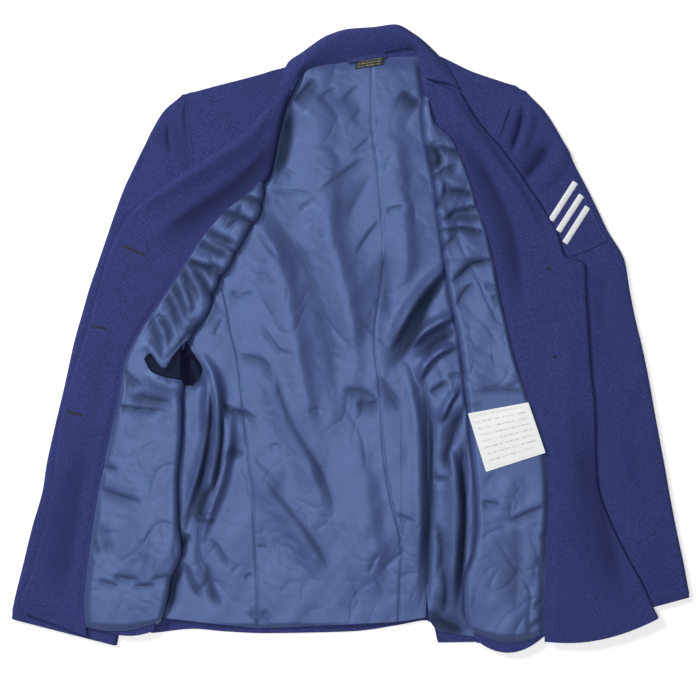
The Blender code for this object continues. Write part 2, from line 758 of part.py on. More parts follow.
def armhole_points(side, table):
    """Back edge of the armhole seam, set in by the seam gap."""
    points = []
    for position in places(0, ARMHOLE_ROWS[side], 1):
        section = sleeve_section(table, position)
        inward = (section.inner - section.outer).normalized()
        points.append(section.inner + inward * SEAM_GAP / 2)
    return points


def add_back_shell(collection):
    right = armhole_points("r", SLEEVE_R_SECTIONS)
    right += [back_edge_r(position) for position in side_places(FRONTS[0])]
    left = armhole_points("l", SLEEVE_L_SECTIONS)
    left += [back_edge_l(position) for position in side_places(FRONTS[1])]
    hem = [Vector(point) for point in BACK_HEM]
    neck = [Vector(point) for point in SHOULDER_R[1:] + NECK_SEAM + SHOULDER_L[:-1]]
    outline = right + hem + left[::-1] + neck[::-1]
    return add_slab("back_shell", outline, 0.0, WOOL, WOOL_FINISH, collection)


def add_collar(collection):
    rows = []
    for position in places(0, len(COLLAR_SECTIONS) - 1, 2):
        seam, ridge, outer = (column(COLLAR_SECTIONS, name, position)
                              for name in ("seam", "ridge", "outer"))
        row = min(int(position), len(COLLAR_SECTIONS) - 2)
        heights = []
        for name in ("seam_z", "ridge_z", "outer_z"):
            start = getattr(COLLAR_SECTIONS[row], name)
            end = getattr(COLLAR_SECTIONS[row + 1], name)
            heights.append(start + (end - start) * (position - row))
        seam_z, ridge_z, outer_z = heights
        points = []
        for share in STAND_SHARES:
            rise = math.sin(share * math.pi / 2)
            points.append(lift(mix(seam, ridge, share), seam_z + (ridge_z - seam_z) * rise))
        for share in CAPE_SHARES:
            fall = 1 - math.cos(share * math.pi / 2)
            points.append(lift(mix(ridge, outer, share), ridge_z + (outer_z - ridge_z) * fall))
        rows.append(points)
    return add_wall("collar", rows, WOOL, WOOL_FINISH, collection)


def corner_mix(corners, along, across):
    """Place inside four corners, from the first two to the last two."""
    first, second, third, fourth = (Vector(corner) for corner in corners)
    return mix(mix(first, second, across), mix(fourth, third, across), along)


def add_care_label(front, collection):
    rows = []
    rise = SATIN / 2 + SEAM_GAP + LABEL_WALL / 2
    for along in LABEL_SHARES:
        row = []
        for across in LABEL_SHARES:
            place = corner_mix(CARE_LABEL_CORNERS, along, across)
            plan = across_front(front, place.x, place.y)
            row.append(lift(plan, front_lining_height(front, place.x, place.y) + rise))
        rows.append(row)
    return add_wall("care_label", rows, LABEL_WALL, LABEL_FINISH, collection)


def add_sleeve_patch(collection):
    rows = []
    height = SLEEVE_TOP + WOOL / 2 + SEAM_GAP + LABEL_WALL / 2
    for along in PATCH_SHARES:
        row = []
        for across in PATCH_SHARES:
            place = corner_mix(PATCH_CORNERS, along, across)
            section = sleeve_section(SLEEVE_L_SECTIONS, place.x)
            row.append(lift(mix(section.inner, section.outer, place.y), height))
        rows.append(row)
    return add_wall("sleeve_patch_l", rows, LABEL_WALL, WOOL_FINISH, collection)


def add_stripes(collection):
    floor = SLEEVE_TOP + WOOL / 2 + SEAM_GAP + LABEL_WALL + SEAM_GAP
    for index, (start, end) in enumerate(STRIPES, start=1):
        run = Vector(end) - Vector(start)
        aside = Vector((-run.y, run.x)).normalized() * STRIPE_WIDTH / 2
        corners = [Vector(start) - aside, Vector(start) + aside, Vector(end) + aside, Vector(end) - aside]
        add_slab(f"rank_stripe_{index}", corners, floor, STRIPE_WALL, LABEL_FINISH, collection)


def add_neck_label(collection):
    floor = BACK_LINING + SATIN / 2 + SEAM_GAP
    return add_slab("neck_label", NECK_LABEL, floor, LABEL_WALL, BLACK_LABEL_FINISH, collection)


def add_hanger_loop(collection):
    """Narrow strap that bows up between its two stitched ends."""
    start, end = (Vector(point) for point in HANGER_ENDS)
    aside = Vector((-(end - start).y, (end - start).x)).normalized() * STRAP_WIDTH / 2
    rows = []
    for share in STRAP_SHARES:
        plan = mix(start, end, share)
        height = HANGER_HEIGHT + HANGER_BOW * math.sin(share * math.pi)
        rows.append([lift(plan - aside, height), lift(plan + aside, height)])
    return add_wall("hanger_loop", rows, LABEL_WALL, WOOL_FINISH, collection)


def add_buttons(collection):
    """Plain buttons on the outer side of the left front, under the opened cloth."""
    floor = SLEEVE_TOP + WOOL / 2 + SEAM_GAP
    for index, (x, y) in enumerate(BUTTON_PLACES, start=1):
        bpy.ops.mesh.primitive_cylinder_add(
            vertices=BUTTON_CORNERS, radius=BUTTON_DIAMETER / 2 * MM, depth=BUTTON_THICKNESS * MM,
            location=(x * MM, (y - OUTLINE_MIDDLE_Y) * MM, (floor + BUTTON_THICKNESS / 2) * MM))
        button = bpy.context.object
        button.name = f"button_{index}"
        button.data.materials.append(make_material(f"button_{index}_metal", BUTTON_FINISH))
        for owner in list(button.users_collection):
            owner.objects.unlink(button)
        collection.objects.link(button)


def clear_scene():
    for item in list(bpy.data.objects):
        bpy.data.objects.remove(item)


def add_collection(name):
    collection = bpy.data.collections.new(name)
    bpy.context.scene.collection.children.link(collection)
    return collection


def main():
    clear_scene()
    jacket = add_collection(COLLECTION)
    cutters = add_collection("cutters")
    half_gap = SEAM_GAP / 2
    add_back_shell(jacket)
    add_side_shell(FRONTS[0], back_edge_r, jacket)
    add_side_shell(FRONTS[1], back_edge_l, jacket)
    add_sleeve("r", SLEEVE_R_SECTIONS, jacket)
    add_sleeve("l", SLEEVE_L_SECTIONS, jacket)
    add_lining_panel("back_lining_side_r", LINING_SIDE_R, BACK_RIDGES, 9, jacket, 0.0, half_gap)
    add_lining_panel("back_lining_r", LINING_R, BACK_RIDGES, 12, jacket, half_gap, half_gap)
    add_lining_panel("back_lining_l", LINING_L, BACK_RIDGES, 8, jacket, half_gap, half_gap)
    add_lining_panel("back_lining_side_l", LINING_SIDE_L, SIDE_ROLL_L, 8, jacket, half_gap, 0.0)
    for front in FRONTS:
        add_front_shell(front, jacket)
        add_front_facing(front, jacket)
        lining = add_front_lining(front, jacket)
        if front.side == "r":
            cut_mouth(lining, cutters)
    add_mouth_lining(jacket)
    add_collar(jacket)
    add_hanger_loop(jacket)
    add_neck_label(jacket)
    add_care_label(FRONTS[1], jacket)
    add_sleeve_patch(jacket)
    add_stripes(jacket)
    add_buttons(jacket)


main()
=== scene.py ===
"""Looks of a service dress jacket that lies open on its back, built around its packed solids.

Lengths are in millimetres until a mesh is made. A point of the plan has its x towards
the wearer's left and its y towards the neck. Creases, buttonholes and the care label
are placed in pixels of the 700 x 700 photograph, counted right and down from its corner.
"""

import math
from collections import namedtuple

import bpy
import numpy as np
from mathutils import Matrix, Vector, noise


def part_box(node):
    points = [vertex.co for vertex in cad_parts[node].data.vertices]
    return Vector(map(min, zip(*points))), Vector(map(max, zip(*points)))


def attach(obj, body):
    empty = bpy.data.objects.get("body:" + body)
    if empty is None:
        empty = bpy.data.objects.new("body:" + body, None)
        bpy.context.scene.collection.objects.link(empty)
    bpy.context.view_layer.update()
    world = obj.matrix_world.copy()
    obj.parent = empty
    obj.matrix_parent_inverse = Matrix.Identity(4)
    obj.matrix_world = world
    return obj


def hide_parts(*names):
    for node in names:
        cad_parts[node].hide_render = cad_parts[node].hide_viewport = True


bl_info = {
    "name": "Service dress jacket",
    "version": (1, 0, 0),
    "blender": (4, 5, 0),
    "location": "View3D > Sidebar > Jacket",
    "description": "Dresses the solids of a jacket laid open in wool, satin lining and sewing",
    "category": "Object",
}

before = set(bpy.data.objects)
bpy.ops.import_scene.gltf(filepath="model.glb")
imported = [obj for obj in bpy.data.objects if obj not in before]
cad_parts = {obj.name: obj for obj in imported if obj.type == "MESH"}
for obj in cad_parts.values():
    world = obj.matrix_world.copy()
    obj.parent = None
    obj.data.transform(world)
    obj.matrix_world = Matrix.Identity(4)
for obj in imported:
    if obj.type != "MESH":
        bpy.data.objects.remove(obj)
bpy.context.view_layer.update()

MM = 0.001

# Size of one pixel of the photograph, and the pixel that lies over the plan's origin
PIXEL = 1.15
PHOTO_MIDDLE = (350.5, 339.5)

# The tables count y from the middle of the back, which lies this far from the box's middle
OUTLINE_MIDDLE_Y = 6.4

# Walls, and the height of the middle of each layer above the floor
WOOL = 2.0
SATIN = 1.2
SEAM_GAP = 0.3
LABEL_WALL = 1.0
LABEL_TAPE = 0.5
FLOOR_LAYER = WOOL / 2
BACK_LINING = WOOL + SEAM_GAP + SATIN / 2
LINING_RETURN = BACK_LINING + SATIN + 0.4
SLEEVE_TOP = LINING_RETURN + SATIN / 2 + SEAM_GAP + WOOL / 2
LAPEL_RETURN = SLEEVE_TOP + WOOL + 0.4
FRONT_LAYER = LAPEL_RETURN + WOOL + SEAM_GAP
FACING = FRONT_LAYER + WOOL + SEAM_GAP
FRONT_LINING = FRONT_LAYER + WOOL / 2 + SEAM_GAP + SATIN / 2

# The inner fold of a front, its outer edge, and the turned edges of sleeves and sides
FOLD_CENTRE = (SLEEVE_TOP + FRONT_LAYER) / 2
FOLD_SHELL_RADIUS = FRONT_LAYER - FOLD_CENTRE
FOLD_LINING_RADIUS = FRONT_LINING - FOLD_CENTRE
FOLD_REACH = FOLD_LINING_RADIUS + SATIN / 2
WRAP_RADIUS = FOLD_LINING_RADIUS + (SATIN + WOOL) / 2 + SEAM_GAP
EDGE_RADIUS = FACING - FRONT_LAYER
EDGE_REACH = EDGE_RADIUS + WOOL / 2
LAPEL_RETURN_WIDTH = 26.0
EDGE_RETURN_WIDTH = 4.0
SHELL_INSET = 3.0
LEAST_SHELL = 1.5
LEAST_LINING = 0.6
LINING_RETURN_WIDTH = 8.0
TURN_RADIUS = 3.0
TURN_REACH = TURN_RADIUS + WOOL / 2
TURN_END = WOOL + 2 * SEAM_GAP
KNUCKLE_IN = 1.0
KNUCKLE_TUCK = 0.1
KNUCKLE_DROP = 0.3
KNUCKLE_END = 2.0
SHOULDER_TUCK = 0.7
SHOULDER_DROP = 0.9
SIDE_SEAM_IN = 8.0
SIDE_TURN_OUT = 3.5
SIDE_TURN_RADIUS = (SLEEVE_TOP - FLOOR_LAYER) / 2
SIDE_TURN_CENTRE = (SLEEVE_TOP + FLOOR_LAYER) / 2
PANEL_OVERLAP = 0.25
TUCKED_STEP = 0.25

# Points of a cloth: steps beside the lining's, angles of the columns round each edge, and fixed counts
FACING_STEP = 1.6
SLEEVE_STEP = 1.45
FOLD_ANGLES = np.linspace(-90, 80, 12)
WRAP_ANGLES = np.linspace(-20, 85, 8)
HALF_TURN = np.linspace(-90, 90, 9)
SLEEVE_ANGLES = np.linspace(90, 8, 7)
SIDE_SHARES = np.linspace(0, 1, 8)[:-1]
SIDE_LINE_POINTS = 100
BACK_GRID = (110, 60)
STAND_COLUMNS = 13
CAPE_COLUMNS = 9
CARE_LABEL_GRID = (30, 26)
NECK_LABEL_GRID = (14, 8)
PATCH_GRID = (28, 34)
STRIPE_GRID = (7, 40)
STRAP_GRID = (5, 24)
MOUTH_GRID = (44, 36)
SPLINE_SAMPLES = 600
LEAST_COLUMNS = 4

# Rows of a table, shares of a width or millimetres over which a form sets in or dies out
SEAM_FADE = 0.12
FOLD_FREE_START = 50
FOLD_FREE_RUN = 120
EDGE_FREE_START = 0.6
EDGE_FREE_RUN = 1.6
LINING_HEM_UP = 0.28
LINING_HEM_FADE = 0.18
LINING_TOP_START = 0.6
WRAP_FADE = 0.8
WRAP_END = {"r": 9.1, "l": 2.6}
WRAP_RUN = 14.0
DROP_FADE = 0.6
FRONT_TOP_ROWS = 9
FRONT_TOP_FADE = 2
SLEEVE_EDGE_FADE = 0.22
SLEEVE_HEM_FADE = 0.6
FRONT_EDGE_START = 4.0
FRONT_EDGE_FADE = 10.0
FOLD_EDGE_START = 2.0
FOLD_EDGE_FADE = 9.0
FOLD_LINE_STEP = 12.0
NECK_LINE_Y = 330.0
NECK_FADE = 20.0
LINING_HEM_Y = -334.0
HEM_FADE = 8.0
LABEL_ROWS = (15.3, 17.9)
LABEL_ROWS_FADE = 0.35
PUFF_ROWS = {"r": (6.5, 16.0), "l": (2.0, 11.5)}
PUFF_FADES = (2.0, 2.5)
PUFF_WIDTH = 1.15
SLEEVE_LINING_FALL = (-197.0, 12.0)

# How far cloth stands off what is under it, and how strong its creases are beside the drawn ones
FACING_EASE = 1.0
SHOULDER_EASE = 0.8
SLEEVE_EASE = 2.2
SLEEVE_GAIN = 1.6
SLEEVE_TURN_SHARE = 0.9
BACK_GAIN = 1.5
TUCK_GAIN = 1.8
TUCK_REACH = 7.0
TUCK_WIDEN = 1.5
FRONT_CRUMPLE = 0.45
BACK_CRUMPLE = 0.3
COLLAR_RIPPLE = 0.5
SLEEVE_LINING_RIPPLE = 0.6
PUFF_HEIGHT = 3.6
LABEL_PRESS = 0.9
LABEL_SWELL = 1.2
LABEL_WAVE = 0.25
STRIPE_CROWN = 0.3

# Form of a crease: its ends' taper, its reach in widths, its width at the ends and on its two sides
CREASE_TAPER = 0.32
CREASE_LINE_STEP = 6.0
CREASE_REACH = 6.0
CREASE_NARROW = 0.7
RIDGE_SIDES = (1.0, 1.7)
VALLEY_SIDES = (0.7, 2.2)
VALLEY_TIP = 0.7
# Painted shade in a valley: the depth at which it begins, the depth over which it grows full, and its width
# as a share of the valley's
SHADE_START_DEPTH = 0.5
SHADE_DEPTH_RUN = 3.0
SHADE_WIDTH = 0.9
CRUMPLE_WIDTH = 0.075
CRUMPLE_PUFF = 1.6
CRUMPLE_SPREAD = 0.6
CRUMPLE_SEED = 9.4
CRUMPLE_CONTRAST = 2.2
SEAM_DIP = 0.8
SEAM_HALF_WIDTH = 1.7

# Edges of a wall, and the hole of the mouth
SHARP_ANGLE = math.radians(52)
BRIM = 0.25
MOUTH_SNAP = 1.7
MOUTH_STEP = 2.0
MOUTH_LOW = FOLD_CENTRE - 3.4

# Pitch of the threads in metres, and shares of a cloth's colour: darkest | lightest | painted shade deep in a
# crease
TWILL_PITCH = 0.0005
TWILL_SLANT = 27
SATIN_PITCH = 0.0006
TAPE_PITCH = 0.0009
WAVE_ROUND = 6.28
WOOL_TONES = (0.62, 1.36, 0.45)
SATIN_TONES = (0.46, 0.72, 0.10)
SATIN_TINT = (0.36, 0.54, 1.0, 1.0)

# Printed rows of a label, as shares of a row or of the label
PRINT_ROW = (0.38, 0.66)
PRINT_ACROSS = (0.07, 0.92)
PRINT_DOWN = (0.05, 0.93)

# Sewing
STITCH_SIDES = 6
STITCH_RINGS = 5
LIP_OFFSET = 1.0
EYE_RADIUS = 1.7
EYE_POINTS = 17
THREAD_RISE = 0.1
LABEL_THREAD_RISE = 0.35
BAR_THREAD_RISE = 0.25
BAR_THREAD_OVER = 0.5
SLIT_RISE = 0.35
EYELET_RISE = 0.2
EYELET_HOLE = 0.4

# Half of a button's outline, from the middle of its underside to the middle of its dome
BUTTON_PROFILE = ((0.0, 0.0), (0.88, 0.0), (1.0, 0.2), (1.0, 0.46), (0.9, 0.62), (0.82, 0.58), (0.6, 0.82),
                  (0.3, 0.96), (0.0, 1.0))
BUTTON_SIDES = 48

# Stage: place, size in metres and power of each light
LIGHTS = (
    ("key", (-1.8, 1.5, 2.2), 0.8, 60.0),
    ("top", (-0.35, -0.2, 2.9), 0.8, 42.0),
)
WORLD_STRENGTH = 0.10
FLOOR_GLOW = 0.35
FLOOR_REACH = 6.0
FLOOR_DROP = 0.0006
CAMERA_PLACE = (-0.0006, -0.0176, 2.01)
CAMERA_LENS = 89.4
VIEW_END = 50

Section = namedtuple("Section", "fold seam edge side")
SleeveSection = namedtuple("SleeveSection", "outer inner")
Panel = namedtuple("Panel", "left right")
CollarSection = namedtuple("CollarSection", "seam ridge outer heights")
Crease = namedtuple("Crease", "rise width points")
Ripple = namedtuple("Ripple", "height across along turn seed")
Front = namedtuple("Front", "side sign sections neck_rows hem_sag edge_sag drop_rows lapel_end")


def columns(kind, rows):
    """The columns of a table as arrays, under their names."""
    return kind(*(np.array(column, float) for column in zip(*rows)))


# The wearer's right front: inner fold | facing seam | front edge | armhole or side seam
FRONT_R = columns(Section, (
    ((-58, 314), (-61, 314), (-70, 314), (-77, 314)),
    ((-59, 303), (-62, 303), (-71, 303), (-119, 302)),
    ((-63, 294), (-66, 294), (-75, 294), (-158, 292)),
    ((-68, 286), (-71, 286), (-81, 286), (-180, 286)),
    ((-74, 274), (-77, 274), (-88, 274), (-188, 284)),
    ((-80, 255), (-83, 255), (-102, 254), (-188, 262)),
    ((-85, 232), (-89, 232), (-124, 232), (-185, 241)),
    ((-89, 211), (-93, 210), (-154, 211), (-182, 220)),
    ((-93, 193), (-98, 189), (-189, 189), (-181, 197)),
    ((-102, 175), (-116, 170), (-220, 170), (-179, 172)),
    ((-106, 151), (-141, 152), (-246, 151), (-179, 147)),
    ((-122, 126), (-165, 127), (-265, 127), (-180, 120)),
    ((-137, 96), (-186, 97), (-278, 97), (-183, 91)),
    ((-157, 59), (-211, 58), (-289, 59), (-189, 59)),
    ((-170, 29), (-231, 29), (-298, 29), (-197, 27)),
    ((-187, -2), (-250, -2), (-306, -2), (-204, -3)),
    ((-194, -30), (-262, -30), (-315, -30), (-209, -30)),
    ((-196, -64), (-267, -64), (-325, -64), (-210, -64)),
    ((-196, -106), (-277, -106), (-335, -106), (-210, -106)),
    ((-200, -162), (-289, -162), (-342, -162), (-213, -162)),
    ((-200, -208), (-297, -208), (-350, -208), (-213, -208)),
    ((-197, -242), (-302, -244), (-361, -244), (-211, -242)),
    ((-208, -273), (-306, -277), (-370, -277), (-221, -273)),
    ((-214, -303), (-308, -302), (-379, -297), (-228, -303)),
    ((-224, -336), (-305, -339), (-374, -315), (-236, -336)),
))

# The wearer's left front, in the same columns
FRONT_L = columns(Section, (
    ((78, 322), (83, 321), (92, 320), (98, 330)),
    ((83, 298), (90, 295), (125, 285), (143, 309)),
    ((84, 285), (89, 281), (133, 272), (175, 298)),
    ((85, 266), (92, 263), (142, 256), (194, 290)),
    ((87, 248), (98, 248), (156, 240), (182, 266)),
    ((89, 228), (118, 230), (170, 225), (173, 237)),
    ((94, 206), (129, 208), (185, 205), (167, 209)),
    ((100, 178), (140, 179), (203, 179), (164, 179)),
    ((103, 151), (148, 151), (222, 151), (162, 151)),
    ((107, 124), (158, 124), (237, 124), (161, 124)),
    ((110, 96), (165, 96), (247, 96), (160, 94)),
    ((111, 87), (167, 87), (269, 87), (159, 87)),
    ((115, 55), (173, 55), (270, 55), (157, 57)),
    ((122, 25), (180, 25), (272, 25), (156, 25)),
    ((128, -6), (187, -6), (274, -6), (149, -6)),
    ((132, -37), (196, -37), (276, -37), (148, -37)),
    ((136, -75), (210, -75), (280, -75), (150, -75)),
    ((141, -121), (224, -121), (282, -121), (155, -121)),
    ((145, -167), (229, -167), (285, -167), (159, -167)),
    ((147, -208), (228, -208), (299, -208), (160, -208)),
    ((143, -248), (226, -248), (318, -248), (157, -248)),
    ((133, -279), (225, -279), (335, -279), (147, -279)),
    ((133, -309), (224, -309), (347, -305), (147, -309)),
    ((144, -349), (225, -346), (354, -319), (158, -349)),
))

FRONTS = {
    "r": Front("r", -1, FRONT_R, 3, 10.0, 0.0, 4, 11.5),
    "l": Front("l", 1, FRONT_L, 1, 16.0, 10.0, 3, 9.5),
}

# Sleeves: outline side | armhole seam, then the hidden inner fold
SLEEVES = {
    "r": columns(SleeveSection, (
        ((-195, 282), (-188, 284)),
        ((-216, 262), (-188, 262)),
        ((-229, 241), (-185, 241)),
        ((-240, 220), (-182, 220)),
        ((-251, 197), (-181, 197)),
        ((-262, 172), (-179, 172)),
        ((-271, 147), (-179, 147)),
        ((-280, 120), (-180, 120)),
        ((-290, 91), (-183, 91)),
        ((-301, 59), (-189, 59)),
        ((-310, 27), (-197, 27)),
        ((-319, -6), (-217, -7)),
        ((-328, -47), (-228, -47)),
        ((-339, -93), (-236, -93)),
        ((-350, -142), (-244, -144)),
        ((-355, -173), (-249, -179)),
        ((-367, -216), (-256, -225)),
        ((-377, -258), (-260, -277)),
        ((-387, -300), (-266, -328)),
        ((-391, -321), (-270, -352)),
    )),
    "l": columns(SleeveSection, (
        ((203, 286), (194, 290)),
        ((224, 262), (182, 266)),
        ((239, 239), (173, 237)),
        ((254, 209), (167, 209)),
        ((270, 179), (164, 179)),
        ((284, 151), (162, 151)),
        ((297, 124), (161, 124)),
        ((316, 91), (160, 94)),
        ((322, 57), (157, 57)),
        ((328, 27), (156, 25)),
        ((336, -7), (163, -6)),
        ((344, -47), (179, -47)),
        ((352, -93), (193, -93)),
        ((361, -141), (208, -141)),
        ((369, -185), (221, -185)),
        ((377, -225), (236, -231)),
        ((384, -259), (251, -271)),
        ((389, -286), (264, -305)),
        ((391, -296), (273, -328)),
    )),
}
ARMHOLE_ROWS = {"r": 10, "l": 9}
UNDERARM_ROW = {"r": 15, "l": 14}

# Back of the neck along the collar seam, the shoulder seams beyond it, and the hem
SHOULDER_R = ((-188, 284), (-180, 286), (-158, 292), (-119, 302), (-77, 314))
NECK_SEAM = ((-56, 309), (-37, 314), (-18, 319), (-1, 323), (25, 329), (48, 335), (70, 338))
SHOULDER_L = ((98, 330), (143, 309), (175, 298), (194, 290))
BACK_HEM = ((-182, -333), (-144, -336), (-95, -338), (-1, -336), (52, -329), (86, -323), (96, -329))

# Seams of the back's lining, each from its top to the hem
SIDE_R = ((-180, 130), (-185, 92), (-190, 61), (-196, 29), (-201, -1), (-203, -33), (-204, -67), (-204, -104),
          (-206, -141), (-208, -179), (-206, -213), (-205, -246), (-213, -286), (-221, -319))
UNDER_FRONT_R = ((-87, 308), (-136, 290), (-178, 272), (-179, 229), (-177, 178))
PRINCESS_R = ((-176, 128), (-163, 94), (-149, 63), (-141, 32), (-136, -1), (-130, -33), (-125, -67),
              (-120, -104),
              (-117, -141), (-114, -179), (-111, -213), (-109, -246), (-108, -288), (-106, -332))
CENTRE_SEAM = ((25, 326), (26, 298), (28, 266), (30, 224), (33, 172), (36, 126), (37, 89), (36, 57), (33, 26),
               (31, -6), (29, -39), (32, -73), (34, -110), (37, -144), (43, -179), (50, -213), (58, -246),
               (57, -285), (55, -324))
UNDER_FRONT_L = ((91, 328), (120, 298), (147, 271), (149, 224), (149, 172), (149, 126), (149, 89), (147, 57))
PRINCESS_L = ((137, 26), (128, -6), (117, -37), (104, -73), (95, -106), (93, -141), (91, -179), (90, -213),
              (89, -246), (88, -282))
SIDE_L = ((147, 26), (147, -6), (144, -37), (147, -73), (150, -106), (154, -141), (157, -179), (158, -213),
          (154, -246), (144, -282), (142, -322), (150, -343))
BACK_LININGS = {
    "back_lining_side_r": columns(Panel, zip(SIDE_R, PRINCESS_R)),
    "back_lining_r": columns(Panel, zip(UNDER_FRONT_R + PRINCESS_R, CENTRE_SEAM)),
    "back_lining_l": columns(Panel, zip(CENTRE_SEAM, UNDER_FRONT_L + PRINCESS_L + ((86, -319),))),
    "back_lining_side_l": columns(Panel, zip(PRINCESS_L + ((92, -322), (101, -336)), SIDE_L)),
}

# Collar: neck seam | ridge | free edge, and the heights of the three
COLLAR = columns(CollarSection, (
    ((-69, 281), (-75, 282), (-84, 283), (15.4, 16.4, 15.4)),
    ((-62, 297), (-68, 300), (-79, 300), (13.8, 16.0, 12.8)),
    ((-53, 308), (-56, 317), (-72, 319), (9.0, 15.8, 7.0)),
    ((-37, 314), (-41, 332), (-55, 332), (6.4, 15.6, 4.0)),
    ((-18, 319), (-20, 346), (-25, 352), (5.4, 15.0, 2.6)),
    ((-1, 323), (0, 353), (-1, 359), (5.2, 14.6, 2.2)),
    ((25, 329), (26, 355), (26, 361), (5.2, 14.4, 2.2)),
    ((48, 335), (50, 358), (51, 364), (5.4, 14.6, 2.4)),
    ((70, 338), (70, 348), (73, 353), (7.4, 15.2, 4.0)),
    ((78, 325), (86, 333), (93, 335), (11.6, 15.8, 9.6)),
    ((81, 310), (98, 317), (107, 319), (13.0, 15.6, 11.6)),
    ((85, 301), (112, 296), (125, 288.5), (13.6, 14.6, 13.0)),
))

# Mouth of the right sleeve's lining
MOUTH = np.array(((-237, -21), (-229, -15), (-214, -32), (-203, -17), (-188, 0), (-185, -24),
                  (-186, -47), (-211, -43), (-228, -36)), float)
# Sheet of dark sleeve lining, left | right; beyond the mouth it lies on the back lining as painted shadow
SLEEVE_LINING = Panel(np.array(((-241, 4), (-243, -14), (-242, -32), (-236, -48)), float),
                      np.array(((-190, 4), (-183, -12), (-171, -34), (-182, -52)), float))

# Labels and badges
CARE_LABEL_CORNERS = ((467.5, 412.5), (527.5, 401.5), (544.5, 451.5), (485.5, 470.5))
PATCH_CORNERS = np.array(((4.4, 0.46), (3.6, 0.93), (6.3, 0.955), (6.85, 0.62)))
STRIPES = (((230.5, 138), (258.5, 181.5)), ((239, 125.5), (265.5, 166.5)), ((246.5, 112), (272.5, 153)))
NECK_LABEL = np.array(((8, 322), (38, 327), (37, 317.5), (5, 313)), float)
HANGER_ENDS = np.array(((-3, 321.5), (40, 329)))
STRIPE_WIDTH = 6.5
STRIPE_WALL = 0.8
STRAP_WIDTH = 5.0
HANGER_HEIGHT = 8.2
HANGER_BOW = 1.5

